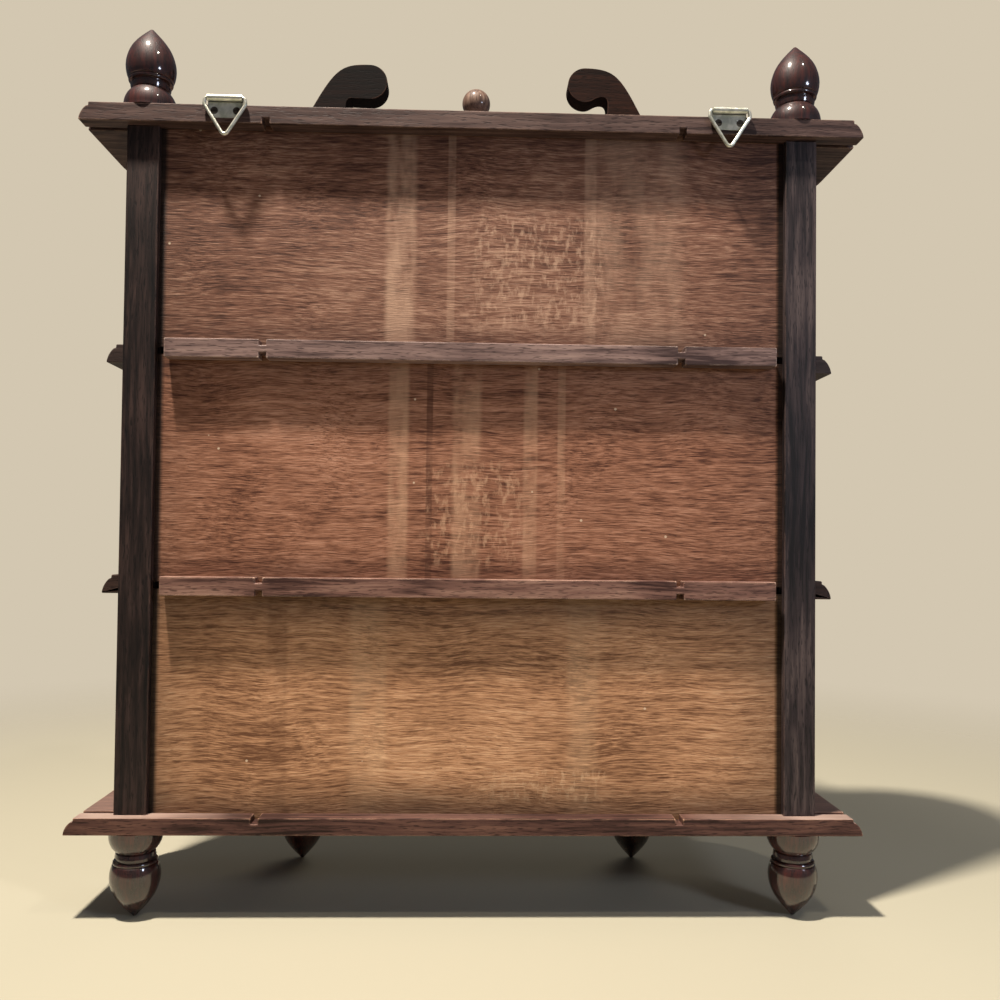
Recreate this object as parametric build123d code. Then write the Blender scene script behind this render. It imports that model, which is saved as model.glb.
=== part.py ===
from build123d import *
import math
import os

# A small mahogany cabinet for a wall or a table: a glazed case with a door in the middle, open shelves
# at both sides, a swan neck pediment on top and four turned feet. X runs to the right as one faces the
# front, Y runs from the front to the back, and Z runs up from the surface that the feet stand on.
# All lengths are in millimetres.

# Boards
board_width = 400.0
board_depth = 112.0
board_corner_radius = 54.0
base_thickness = 8.6
top_thickness = 9.2
shelf_thickness = 9.6
lower_bay_height = 110.0
middle_bay_height = 110.35
upper_bay_height = 109.25

# Moulded edge of the boards, on the front and the sides. Its curve leaves the nose with this lean,
# which is the run inwards for each millimetre of rise.
mould_inset = 4.8
mould_step = 1.0
mould_fillet_height = 1.9
mould_nose_height = 0.6
mould_nose_lean = 0.15

# Shelves: how far their edges lie inside the boards' edges
shelf_inset = 9.0
shelf_rear_recess = 1.0
shelf_post_gap = 5.5

# Rear posts
post_from_end = 30.8
post_width = 16.3
post_depth = 14.0
post_recess = 5.3

# Back panels and the grooves that hold them
panel_thickness = 3.0
panel_recess = 9.5
panel_groove_depth = 3.0
groove_clearance = 0.1

# Turned feet and finials, which share one profile, with heights from the tip. Past the bulb come a small
# step, a bead, a deep groove or quirk, a ring, a fine groove at the waist and the cushion shaped bell.
turning_height = 43.6
turning_from_post_centre = 1.0
tip_radius = 0.8
tip_flare_radius = 3.7
tip_flare_height = 3.0
swell_radius = 9.8
swell_height = 10.7
bulb_radius = 12.45
bulb_height = 20.4
lip_radius = 11.2
lip_height = 26.4
lip_step_depth = 0.5
lip_step_width = 0.3
lip_bead_bulge = 0.35
lip_bead_width = 1.7
quirk_radius = 9.3
quirk_width = 2.0
quirk_side_slope = 0.3
neck_ring_radius = 10.0
waist_radius = 9.1
waist_height = 32.7
waist_groove_depth = 0.5
waist_groove_half_width = 0.4
bell_radius = 13.0
bell_bulge = 1.3
bell_rim_height = 1.0
spigot_radius = 4.0
spigot_grip = 10.0
spigot_clearance = 0.05
spigot_end_gap = 0.5

# Front stiles, each above a front foot
stile_from_end = 100.5
stile_from_front = 12.5
stile_width = 25.0
stile_depth = 15.0
flute_radius = 1.6
flute_spacing = 6.0
flute_count = 3
flute_end_margin = 16.0

# Side glass and its grooves
pane_thickness = 3.0
pane_from_stile_centre = 6.8
pane_groove_width = 3.6
pane_groove_depth = 3.0
pane_clearance = 0.2

# Door
door_thickness = 12.0
door_gap = 0.8
door_member_width = 20.0
door_rebate_width = 4.5
door_rebate_depth = 6.5
door_arris = 1.5
tenon_length = 6.0
tenon_thickness = 3.0
tenon_from_face = 1.5
door_glass_thickness = 3.0
door_glass_clearance = 0.3
bead_width = 4.2
bead_thickness = 3.2
bead_clearance = 0.1

# Hinges
hinge_length = 26.0
hinge_end_distance = 46.0
hinge_leaf_depth = 9.0
hinge_leaf_thickness = 0.8
hinge_leaf_overhang = 0.4
hinge_knuckle_radius = 1.7
hinge_knuckle_room = 0.15
hinge_recess_room = 0.1
hinge_pin_radius = 0.8
hinge_pin_clearance = 0.05
hinge_pin_head_radius = 1.45
hinge_pin_head_height = 0.8
hinge_knuckle_gap = 0.3
hinge_standoff = 0.05
hinge_screw_spacing = 15.0
hinge_screw_setback = 4.5

# Knob
knob_projection = 14.0
knob_radius = 5.0
knob_flat_depth = 1.0
knob_rose_radius = 4.6
knob_rose_thickness = 1.2
knob_neck_radius = 2.3
knob_screw_radius = 1.5
knob_screw_grip = 8.0
knob_screw_end_gap = 0.5
knob_head_radius = 3.0
knob_head_thickness = 1.8
knob_slot_width = 0.8
knob_slot_depth = 0.6

# Magnetic catch
catch_from_stile = 37.0
catch_width = 26.0
catch_depth = 13.0
catch_height = 8.0
catch_magnet_width = 15.0
catch_magnet_height = 4.0
catch_magnet_depth = 5.8
catch_gap = 0.3
catch_screw_spacing = 19.0
strike_width = 22.0
strike_height = 10.0
strike_thickness = 0.8

# Pediment: insets are measured from its outer ends, drops from its highest point and heights from the top
# board. The right scroll leans towards the middle by an angle in degrees, and its mouth was sawn lower.
pediment_from_front = 5.0
pediment_thickness = 13.5
pediment_height = 72.4
pediment_end_height = 8.0
flank_inset = 12.4
flank_drop = 25.8
shoulder_inset = 25.7
shoulder_drop = 5.5
volute_inset = 45.2
volute_radius = 10.6
notch_inset = 34.8
notch_drop = 17.8
neck_inset = 31.2
neck_drop = 23.0
saddle_inset = 42.0
saddle_height = 25.0
centre_rise_height = 15.0
right_scroll_lean = 1.7
right_mouth_drop = 3.4
pediment_arris = 1.2
plinth_half_width = 14.0
plinth_depth = 13.8
plinth_height = 30.0
plinth_cap_overhang = 1.5
plinth_cap_height = 4.0
ball_radius = 8.6
ball_top_height = 60.0
ball_collar_radius = 6.5
ball_collar_bulge = 1.0
ball_collar_height = 3.0
ball_neck_radius = 3.2
ball_neck_height = 8.5
ball_spigot_length = 8.0
dowel_radius = 2.5
dowel_length = 12.0
dowel_sink = 5.0
dowel_end_gap = 0.3
inner_dowel_x = 34.0
outer_dowel_from_stile_centre = 8.0

# Hangers on the back edge of the top board
left_hanger_from_end = 70.2
right_hanger_from_end = 73.6
strap_half_width = 8.8
strap_thickness = 0.6
strap_corner_radius = 4.0
strap_bottom_rise = 2.2
strap_eye_rise = 2.5
strap_eye_bore_radius = 1.0
strap_eye_standoff = 0.2
ring_wire_radius = 0.9
ring_corner_x = 9.9
ring_shoulder_x = 10.4
ring_shoulder_drop = 3.4
ring_drop = 19.8
ring_corner_radius = 1.3
ring_apex_radius = 2.0
hanger_screw_offset = 5.6
hanger_screw_rise = 5.8

# Fasteners. A slot's width and depth are shares of its screw head's radius and depth.
small_screw_radius = 0.95
small_screw_head_radius = 1.8
small_screw_head_depth = 0.9
hinge_screw_length = 7.0
hanger_screw_length = 10.0
catch_screw_length = 12.0
strike_screw_length = 6.0
wood_screw_radius = 1.8
wood_screw_head_radius = 3.6
wood_screw_head_depth = 2.0
wood_screw_length = 32.0
slot_width_share = 0.28
slot_depth_share = 0.3
shelf_pin_radius = 0.7
shelf_pin_length = 30.0
shelf_pin_sink = 1.0
shelf_pin_end_gap = 1.5
fit_clearance = 0.05

# How far a cutting shape passes beyond the face that it cuts
past = 1.0

# Heights of the boards' faces
base_bottom = turning_height
base_top = base_bottom + base_thickness
lower_shelf_bottom = base_top + lower_bay_height
lower_shelf_top = lower_shelf_bottom + shelf_thickness
upper_shelf_bottom = lower_shelf_top + middle_bay_height
upper_shelf_top = upper_shelf_bottom + shelf_thickness
top_bottom = upper_shelf_top + upper_bay_height
top_top = top_bottom + top_thickness
bays = {
    "lower": (base_top, lower_shelf_bottom),
    "middle": (lower_shelf_top, upper_shelf_bottom),
    "upper": (upper_shelf_top, top_bottom),
}

# Distances in front of the boards' back edge
post_centre_depth = post_recess + post_depth / 2
post_front = post_recess + post_depth
panel_front = panel_recess + panel_thickness
stile_centre_depth = board_depth - stile_from_front
stile_rear = stile_centre_depth - stile_depth / 2
stile_front = stile_centre_depth + stile_depth / 2
door_rear = stile_front - door_thickness
knob_front = stile_front + knob_projection
pediment_front = board_depth - pediment_from_front
pediment_centre_depth = pediment_front - pediment_thickness / 2
strap_eye_radius = strap_eye_bore_radius + strap_thickness
strap_eye_reach = strap_eye_standoff + strap_eye_radius

# Distances from the middle plane
half_width = board_width / 2
post_centre_x = half_width - post_from_end
post_inner_x = post_centre_x - post_width / 2
post_outer_x = post_centre_x + post_width / 2
turning_x = post_centre_x - turning_from_post_centre
stile_centre_x = half_width - stile_from_end
stile_inner_x = stile_centre_x - stile_width / 2
stile_outer_x = stile_centre_x + stile_width / 2
pane_centre_x = stile_centre_x + pane_from_stile_centre
shelf_half_width = half_width - shelf_inset
panel_half_width = post_inner_x + panel_groove_depth - groove_clearance
outer_dowel_x = stile_centre_x + outer_dowel_from_stile_centre
hanger_centres = {"left": left_hanger_from_end - half_width, "right": half_width - right_hanger_from_end}

# The origin is under the middle of everything, from the knob's front to the back of the hangers' eyes.
hanger_back = strap_eye_reach + strap_eye_radius
back_y = (knob_front - hanger_back) / 2


def from_back(distance):
    """The Y of a plane at this distance in front of the boards' back edge."""
    return back_y - distance


def block(x_range, depth_range, z_range):
    """A box between two X values, two distances from the back edge and two heights."""
    size = [high - low for low, high in (x_range, depth_range, z_range)]
    x = sum(x_range) / 2
    y = from_back(sum(depth_range) / 2)
    z = sum(z_range) / 2
    return Pos(x, y, z) * Box(*size)


def other_side(shape):
    """The same piece at the other side of the cabinet."""
    return mirror(shape, about=Plane.YZ)


def both_sides(shape):
    return shape + other_side(shape)


def upright_rod(x, depth, z_range, radius):
    """A round rod or hole that stands up at X and a distance from the back edge."""
    length = z_range[1] - z_range[0]
    return Pos(x, from_back(depth), sum(z_range) / 2) * Cylinder(radius, length)


def lying_rod(x_range, depth, z, radius):
    """A round rod or hole that lies along X."""
    place = Pos(sum(x_range) / 2, from_back(depth), z) * Rot(0, 90, 0)
    return place * Cylinder(radius, x_range[1] - x_range[0])


def screw_slot(head_radius, width, depth):
    """The cut of a screw's slot, right across its head, from a face at the origin down."""
    return Box(2 * (head_radius + past), width, 2 * depth)


def countersunk_screw(radius, head_radius, head_depth, length):
    """A wood screw with its flat head's face at the origin and its shank along -Z."""
    head = Pos(0, 0, -head_depth / 2) * Cone(radius, head_radius, head_depth)
    shank = Pos(0, 0, -length / 2) * Cylinder(radius, length)
    slot = screw_slot(head_radius, slot_width_share * head_radius, slot_depth_share * head_depth)
    return head + shank - slot


def countersunk_hole(radius, head_radius, head_depth, length):
    """The hole that such a screw needs, with the fit's clearance all round."""
    reach = fit_clearance
    head = Pos(0, 0, -head_depth / 2) * Cone(radius + reach, head_radius + reach, head_depth)
    mouth = Pos(0, 0, past / 2) * Cylinder(head_radius + reach, past)
    shank = Pos(0, 0, -(length + reach) / 2) * Cylinder(radius + reach, length + reach)
    return head + mouth + shank


small_screw_sizes = (small_screw_radius, small_screw_head_radius, small_screw_head_depth)
wood_screw_sizes = (wood_screw_radius, wood_screw_head_radius, wood_screw_head_depth)


# Boards and shelves
def mould_cutter(path_points, corner_radius, thickness, z_bottom):
    """What the moulding plane takes off an edge: the path's first leg runs along -Y at the right side."""
    path = FilletPolyline(*[(x, y, z_bottom) for x, y in path_points], radius=corner_radius)
    start_x, start_y = path_points[0]
    section_plane = Plane(origin=(start_x, start_y, z_bottom), x_dir=(-1, 0, 0), z_dir=(0, 1, 0))
    nose = (0, mould_nose_height)
    curve_end = (mould_inset - mould_step, thickness - mould_fillet_height)
    outline = Polyline(
        curve_end,
        (mould_inset, thickness - mould_fillet_height),
        (mould_inset, thickness + past),
        (-2 * past, thickness + past),
        (-2 * past, mould_nose_height),
        nose,
    )
    outline += TangentArc(nose, curve_end, tangent=(mould_nose_lean, 1))
    return sweep(section_plane * make_face(outline), path=path)


def grooves_in_face(z_face, upward, front_end):
    """The two grooves for the side glass and the one for the back panels, cut into one face of a board."""
    rise = 1 if upward else -1
    pane_z = sorted((z_face, z_face + rise * pane_groove_depth))
    panel_z = sorted((z_face, z_face + rise * panel_groove_depth))
    half_groove = pane_groove_width / 2
    x_range = (pane_centre_x - half_groove, pane_centre_x + half_groove)
    panel_range = (panel_recess - groove_clearance, panel_front + groove_clearance)
    panel_groove = block((-board_width, board_width), panel_range, panel_z)
    return both_sides(block(x_range, (-past, front_end), pane_z)) + panel_groove


def full_board(z_bottom, thickness):
    """A board with rounded front corners and the moulded edge, without its grooves and holes."""
    plan = Pos(0, from_back(board_depth / 2)) * Rectangle(board_width, board_depth)
    plan = fillet(plan.vertices().sort_by(Axis.Y)[:2], board_corner_radius)
    board = Pos(0, 0, z_bottom) * extrude(plan, thickness)
    beyond = from_back(-2 * past)
    front = from_back(board_depth)
    path = [(half_width, beyond), (half_width, front), (-half_width, front), (-half_width, beyond)]
    return board - mould_cutter(path, board_corner_radius, thickness, z_bottom)


def make_base_board():
    board = full_board(base_bottom, base_thickness)
    board -= grooves_in_face(base_top, False, stile_rear + pane_groove_depth)
    hole_radius = spigot_radius + spigot_clearance
    through = (base_bottom - past, base_top + past)
    board -= both_sides(upright_rod(turning_x, post_centre_depth, through, hole_radius))
    board -= both_sides(upright_rod(stile_centre_x, stile_centre_depth, through, hole_radius))
    return board


def make_top_board():
    board = full_board(top_bottom, top_thickness)
    board -= grooves_in_face(top_bottom, True, stile_rear + pane_groove_depth)
    through = (top_bottom - past, top_top + past)
    board -= both_sides(
        upright_rod(turning_x, post_centre_depth, through, spigot_radius + spigot_clearance)
    )
    screw_hole = countersunk_hole(*wood_screw_sizes, wood_screw_length)
    board -= both_sides(Pos(stile_centre_x, from_back(stile_centre_depth), top_top) * screw_hole)
    dowel_hole = (top_top - dowel_sink - dowel_end_gap, top_top + past)
    for x in dowel_places:
        board -= upright_rod(x, pediment_centre_depth, dowel_hole, dowel_radius + fit_clearance)
    for place in hanger_screw_places:
        board -= place * countersunk_hole(*small_screw_sizes, hanger_screw_length)
    for place in catch_screw_places:
        board -= place * countersunk_hole(*small_screw_sizes, catch_screw_length)
    return board


def make_shelf(z_bottom):
    """A shelf whose middle runs behind the stiles and the door, and whose wings come forward beside them."""
    z_range = (z_bottom, z_bottom + shelf_thickness)
    wing_radius = board_corner_radius - shelf_inset
    shelf_front = board_depth - shelf_inset
    wing_depth = shelf_front - post_front
    wing = Pos(0, from_back((shelf_front + post_front) / 2)) * Rectangle(2 * shelf_half_width, wing_depth)
    wing = fillet(wing.vertices().sort_by(Axis.Y)[:2], wing_radius)
    shelf = Pos(0, 0, z_bottom) * extrude(wing, shelf_thickness)
    shelf -= block((-stile_outer_x, stile_outer_x), (stile_rear, board_depth), z_range)
    tongue_half_width = post_inner_x - shelf_post_gap
    shelf += block((-tongue_half_width, tongue_half_width), (shelf_rear_recess, post_front), z_range)
    rear = from_back(post_front) + 2 * past
    front = from_back(shelf_front)
    path = [(shelf_half_width, rear), (shelf_half_width, front), (stile_outer_x - 2 * past, front)]
    shelf -= both_sides(mould_cutter(path, wing_radius, shelf_thickness, z_bottom))
    shelf -= grooves_in_face(z_bottom, True, stile_rear)
    shelf -= grooves_in_face(z_bottom + shelf_thickness, False, stile_rear)
    shelf -= both_sides(shelf_pin_hole(z_bottom))
    return shelf


# Rear posts and the pins that hold the shelves to them
def shelf_pin_place(z_bottom):
    x = (post_centre_x + post_outer_x) / 2
    y = from_back(post_recess + shelf_pin_sink)
    return Pos(x, y, z_bottom + shelf_thickness / 2) * Rot(-90, 0, 0)


def shelf_pin(z_bottom):
    pin = Pos(0, 0, -shelf_pin_length / 2) * Cylinder(shelf_pin_radius, shelf_pin_length)
    return shelf_pin_place(z_bottom) * pin


def shelf_pin_hole(z_bottom):
    mouth = shelf_pin_sink + past
    length = mouth + shelf_pin_length + shelf_pin_end_gap
    hole = Pos(0, 0, mouth - length / 2) * Cylinder(shelf_pin_radius + fit_clearance, length)
    return shelf_pin_place(z_bottom) * hole


def make_right_post():
    z_range = (base_top, top_bottom)
    post = block((post_inner_x, post_outer_x), (post_recess, post_front), z_range)
    groove_range = (panel_recess - groove_clearance, panel_front + groove_clearance)
    post -= block((post_inner_x - past, post_inner_x + panel_groove_depth), groove_range, z_range)
    hole_radius = spigot_radius + spigot_clearance
    hole_depth = spigot_grip + spigot_end_gap
    for hole_range in ((base_top, base_top + hole_depth), (top_bottom - hole_depth, top_bottom)):
        post -= upright_rod(turning_x, post_centre_depth, hole_range, hole_radius)
    for z_bottom in (lower_shelf_bottom, upper_shelf_bottom):
        post -= shelf_pin_hole(z_bottom)
    return post


# Back panels
def make_back_panel(bay):
    low, high = bays[bay]
    reach = panel_groove_depth - groove_clearance
    x_range = (-panel_half_width, panel_half_width)
    return block(x_range, (panel_recess, panel_front), (low - reach, high + reach))


# Turned feet and finials
def turning(spigot_length):
    """The turned acorn, its tip at the origin and its bell and spigot above."""
    tip = (tip_radius, 0)
    lip = (lip_radius, lip_height)
    bead_foot = (lip_radius - lip_step_depth, lip_height + lip_step_width)
    quirk_foot = lip_height + lip_step_width + lip_bead_width
    quirk_top = quirk_foot + quirk_width
    bead_top = (lip_radius - lip_step_depth, quirk_foot)
    ring_top = (waist_radius + waist_groove_depth, waist_height - waist_groove_half_width)
    bell_foot = (waist_radius + waist_groove_depth, waist_height + waist_groove_half_width)
    bell_rim = (bell_radius, turning_height - bell_rim_height)
    profile = Polyline((0, 0), tip)
    profile += Spline(
        tip,
        (tip_flare_radius, tip_flare_height),
        (swell_radius, swell_height),
        (bulb_radius, bulb_height),
        lip,
    )
    profile += Line(lip, bead_foot)
    profile += SagittaArc(bead_foot, bead_top, -lip_bead_bulge)
    profile += Polyline(
        bead_top,
        (quirk_radius, quirk_foot + quirk_side_slope),
        (quirk_radius, quirk_top - quirk_side_slope),
        (neck_ring_radius, quirk_top),
        ring_top,
        (waist_radius, waist_height),
        bell_foot,
    )
    profile += SagittaArc(bell_foot, bell_rim, -bell_bulge)
    profile += Polyline(
        bell_rim,
        (bell_radius, turning_height),
        (spigot_radius, turning_height),
        (spigot_radius, turning_height + spigot_length),
        (0, turning_height + spigot_length),
        (0, 0),
    )
    face = make_face(Plane.XZ * profile)
    return revolve(face, Axis.Z)


def make_foot(x, depth):
    return Pos(x, from_back(depth), 0) * turning(base_thickness + spigot_grip)


def make_right_finial():
    height = top_top + turning_height
    place = Pos(turning_x, from_back(post_centre_depth), height) * Rot(180, 0, 0)
    return place * turning(top_thickness + spigot_grip)


# Front stiles
def make_right_stile():
    z_range = (base_top, top_bottom)
    stile = block((stile_inner_x, stile_outer_x), (stile_rear, stile_front), z_range)
    half_groove = pane_groove_width / 2
    groove_range = (pane_centre_x - half_groove, pane_centre_x + half_groove)
    stile -= block(groove_range, (stile_rear - past, stile_rear + pane_groove_depth), z_range)
    first = -(flute_count - 1) / 2
    for index in range(flute_count):
        x = stile_centre_x + (first + index) * flute_spacing
        ends = (base_top + flute_end_margin, top_bottom - flute_end_margin)
        stile -= upright_rod(x, stile_front, ends, flute_radius)
        for z in ends:
            stile -= Pos(x, from_back(stile_front), z) * Sphere(flute_radius)
    spigot_hole = (base_top, base_top + spigot_grip + spigot_end_gap)
    stile -= upright_rod(stile_centre_x, stile_centre_depth, spigot_hole, spigot_radius + spigot_clearance)
    stile -= Pos(stile_centre_x, from_back(stile_centre_depth), top_top) * countersunk_hole(
        *wood_screw_sizes, wood_screw_length
    )
    return stile


def make_top_board_screws():
    screw = countersunk_screw(*wood_screw_sizes, wood_screw_length)
    return both_sides(Pos(stile_centre_x, from_back(stile_centre_depth), top_top) * screw)


# Side glass
def make_right_pane(bay):
    low, high = bays[bay]
    reach = pane_groove_depth - pane_clearance
    half = pane_thickness / 2
    depth_range = (panel_front + pane_clearance, stile_rear + reach)
    return block((pane_centre_x - half, pane_centre_x + half), depth_range, (low - reach, high + reach))


# Door
door_left = -stile_inner_x + door_gap
door_right = stile_inner_x - door_gap
door_bottom = base_top + door_gap
door_top = top_bottom - door_gap
door_cut = (door_rear - past, stile_front + past)
opening_left = door_left + door_member_width
opening_right = door_right - door_member_width
opening_bottom = door_bottom + door_member_width
opening_top = door_top - door_member_width
tenon_front = stile_front - tenon_from_face
tenon_depths = (tenon_front - tenon_thickness, tenon_front)
rebate_front = door_rear + door_rebate_depth
hinge_axis_x = -stile_inner_x + door_gap / 2
hinge_axis_depth = stile_front + hinge_knuckle_radius + hinge_standoff
hinge_heights = {
    "lower": door_bottom + hinge_end_distance,
    "upper": door_top - hinge_end_distance,
}
knob_height = (door_bottom + door_top) / 2
knob_x = door_right - door_member_width / 2


def door_opening(growth, depth_range):
    x_range = (opening_left - growth, opening_right + growth)
    z_range = (opening_bottom - growth, opening_top + growth)
    return block(x_range, depth_range, z_range)


def door_shape():
    """The whole door frame before it is parted into stiles and rails."""
    frame = block((door_left, door_right), (door_rear, stile_front), (door_bottom, door_top))
    frame -= door_opening(0, door_cut)
    frame -= door_opening(door_rebate_width, (door_rear - past, rebate_front))
    middle = Pos(0, from_back(stile_front), (opening_bottom + opening_top) / 2)
    width = opening_right - opening_left
    height = opening_top - opening_bottom
    wide = Plane.XZ * Rectangle(width + 2 * door_arris, height + 2 * door_arris)
    narrow = Plane.XZ.offset(-door_arris) * Rectangle(width, height)
    frame -= middle * loft([wide.face(), narrow.face()])
    return frame


def tenons(growth):
    """The rails' four tenons, or the mortises for them when grown by the fit's clearance."""
    shape = None
    depth_range = (tenon_depths[0] - growth, tenon_depths[1] + growth)
    for low, high in ((door_bottom, opening_bottom), (opening_top, door_top)):
        z_range = (low + door_rebate_width - growth, high - door_rebate_width + growth)
        x_range = (opening_left - tenon_length - growth, opening_right + tenon_length + growth)
        tenon = block(x_range, depth_range, z_range)
        shape = tenon if shape is None else shape + tenon
    return shape


def make_door_stile(x_range, whole):
    stile = whole & block(x_range, door_cut, (door_bottom, door_top))
    return stile - tenons(fit_clearance)


def make_door_rail(z_range, whole):
    middle = block((opening_left, opening_right), door_cut, z_range)
    reach = block((door_left, door_right), door_cut, z_range)
    return (whole & middle) + (tenons(0) & reach)


def make_door_glass():
    growth = door_rebate_width - door_glass_clearance
    return door_opening(growth, (rebate_front - door_glass_thickness, rebate_front))


def make_glazing_beads():
    outer = door_rebate_width - bead_clearance
    front = rebate_front - door_glass_thickness - fit_clearance
    depths = (front - bead_thickness, front)
    left = opening_left - outer
    bottom = opening_bottom - outer
    side = block((left, left + bead_width), depths, (bottom, opening_top + outer))
    end_reach = -left - bead_width - fit_clearance
    end = block((-end_reach, end_reach), depths, (bottom, bottom + bead_width))
    middle = Plane.XY.offset((opening_bottom + opening_top) / 2)
    return Compound(children=[side, other_side(side), end, mirror(end, about=middle)])


# Hinges. The frame leaf carries the two outer knuckles and the door leaf the middle one.
def knuckle_ranges(z_middle):
    third = hinge_length / 3
    low = z_middle - hinge_length / 2
    gap = hinge_knuckle_gap / 2
    cuts = [low, low + third, low + 2 * third, low + hinge_length]
    lower = (cuts[0], cuts[1] - gap)
    middle = (cuts[1] + gap, cuts[2] - gap)
    upper = (cuts[2] + gap, cuts[3])
    return lower, middle, upper


def hinge_screw_places(z_middle, side):
    """Two screws through a leaf, their heads flush with it, for the frame leaf (-1) or the door leaf (+1)."""
    x = hinge_axis_x + side * door_gap / 2
    y = from_back(stile_front - hinge_screw_setback)
    places = []
    for offset in (-hinge_screw_spacing / 2, hinge_screw_spacing / 2):
        places.append(Pos(x, y, z_middle + offset) * Rot(0, -90 * side, 0))
    return places


def make_hinge_leaf(z_middle, side):
    lower, middle, upper = knuckle_ranges(z_middle)
    face_x = hinge_axis_x + side * door_gap / 2
    x_range = tuple(sorted((face_x, face_x + side * hinge_leaf_thickness)))
    depth_range = (stile_front - hinge_leaf_depth, stile_front + hinge_leaf_overhang)
    leaf = block(x_range, depth_range, (lower[0], upper[1]))
    mine = (lower, upper) if side < 0 else (middle,)
    others = (middle,) if side < 0 else (lower, upper)
    for low, high in others:
        room = hinge_knuckle_radius + hinge_knuckle_room
        spread = (low - hinge_knuckle_gap, high + hinge_knuckle_gap)
        leaf -= upright_rod(hinge_axis_x, hinge_axis_depth, spread, room)
    for z_range in mine:
        leaf += upright_rod(hinge_axis_x, hinge_axis_depth, z_range, hinge_knuckle_radius)
    clearance = hinge_pin_clearance if side > 0 else fit_clearance / 2
    bore = (lower[0] - past, upper[1] + past)
    leaf -= upright_rod(hinge_axis_x, hinge_axis_depth, bore, hinge_pin_radius + clearance)
    for place in hinge_screw_places(z_middle, side):
        leaf -= place * countersunk_hole(*small_screw_sizes, hinge_screw_length)
    return leaf


def hinge_recess(z_middle, side):
    """The shallow mortise that a leaf lies in, with the holes for its screws."""
    lower, _, upper = knuckle_ranges(z_middle)
    back_x = hinge_axis_x + side * (door_gap / 2 + hinge_leaf_thickness + fit_clearance)
    x_range = tuple(sorted((hinge_axis_x, back_x)))
    near = stile_front - hinge_leaf_depth - fit_clearance
    z_range = (lower[0] - fit_clearance, upper[1] + fit_clearance)
    shape = block(x_range, (near, stile_front + past), z_range)
    room = hinge_knuckle_radius + hinge_recess_room
    shape += upright_rod(hinge_axis_x, hinge_axis_depth, z_range, room)
    for place in hinge_screw_places(z_middle, side):
        shape += place * countersunk_hole(*small_screw_sizes, hinge_screw_length)
    return shape


def make_hinge_pin(z_middle):
    lower, _, upper = knuckle_ranges(z_middle)
    pin = upright_rod(hinge_axis_x, hinge_axis_depth, (lower[0], upper[1]), hinge_pin_radius)
    head = Pos(0, 0, hinge_pin_head_height / 2) * Cone(
        hinge_pin_head_radius, hinge_pin_radius, hinge_pin_head_height
    )
    for z, turn in ((lower[0], 180), (upper[1], 0)):
        pin += Pos(hinge_axis_x, from_back(hinge_axis_depth), z) * Rot(turn, 0, 0) * head
    return pin


def make_hinge_screws(side):
    screws = []
    for z_middle in hinge_heights.values():
        for place in hinge_screw_places(z_middle, side):
            screws.append(place * countersunk_screw(*small_screw_sizes, hinge_screw_length))
    return Compound(children=screws)


# Knob, with its axis along -Y out of the door
def knob_place(depth):
    return Pos(knob_x, from_back(depth), knob_height) * Rot(90, 0, 0)


def make_knob():
    ball_centre = knob_projection - knob_radius + knob_flat_depth
    rose = Pos(0, 0, knob_rose_thickness / 2) * Cylinder(knob_rose_radius, knob_rose_thickness)
    neck = Pos(0, 0, ball_centre / 2) * Cylinder(knob_neck_radius, ball_centre)
    ball = Pos(0, 0, ball_centre) * Sphere(knob_radius)
    front = Pos(0, 0, knob_projection + knob_radius) * Box(*[4 * knob_radius] * 2, 2 * knob_radius)
    knob = rose + neck + ball - front
    hole = Pos(0, 0, knob_screw_grip / 2) * Cylinder(knob_screw_radius + fit_clearance, knob_screw_grip)
    return knob_place(stile_front) * (knob - hole)


def make_knob_screw():
    length = door_thickness + knob_screw_grip - knob_screw_end_gap
    shank = Pos(0, 0, length / 2) * Cylinder(knob_screw_radius, length)
    head = Pos(0, 0, -knob_head_thickness / 2) * Cylinder(knob_head_radius, knob_head_thickness)
    slot = Pos(0, 0, -knob_head_thickness) * screw_slot(knob_head_radius, knob_slot_width, knob_slot_depth)
    return knob_place(door_rear) * (shank + head - slot)


# Magnetic catch under the top board, and its strike plate on the door
catch_centre_x = stile_inner_x - catch_from_stile
catch_front = door_rear - strike_thickness - catch_gap
catch_screw_depth = catch_front - catch_depth / 2
catch_screw_places = [
    Pos(catch_centre_x + offset, from_back(catch_screw_depth), top_bottom - catch_height) * Rot(180, 0, 0)
    for offset in (-catch_screw_spacing / 2, catch_screw_spacing / 2)
]
strike_height_middle = top_bottom - catch_height / 2
strike_place = Pos(
    catch_centre_x, from_back(door_rear - strike_thickness), strike_height_middle
) * Rot(-90, 0, 0)


def magnet_block(growth):
    half = catch_magnet_width / 2 + growth
    z_middle = top_bottom - catch_height / 2
    tall = catch_magnet_height / 2 + growth
    near = catch_front - catch_magnet_depth - growth
    x_range = (catch_centre_x - half, catch_centre_x + half)
    return block(x_range, (near, catch_front), (z_middle - tall, z_middle + tall))


def make_catch_body():
    x_range = (catch_centre_x - catch_width / 2, catch_centre_x + catch_width / 2)
    body = block(x_range, (catch_front - catch_depth, catch_front), (top_bottom - catch_height, top_bottom))
    body -= magnet_block(fit_clearance)
    for place in catch_screw_places:
        body -= place * countersunk_hole(*small_screw_sizes, catch_screw_length)
    return body


def make_catch_screws():
    screw = countersunk_screw(*small_screw_sizes, catch_screw_length)
    return Compound(children=[place * screw for place in catch_screw_places])


def make_strike_plate():
    x_range = (catch_centre_x - strike_width / 2, catch_centre_x + strike_width / 2)
    low = strike_height_middle - strike_height / 2
    z_range = (max(low, opening_top), min(low + strike_height, door_top))
    plate = block(x_range, (door_rear - strike_thickness, door_rear), z_range)
    return plate - strike_place * countersunk_hole(*small_screw_sizes, strike_screw_length)


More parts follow.
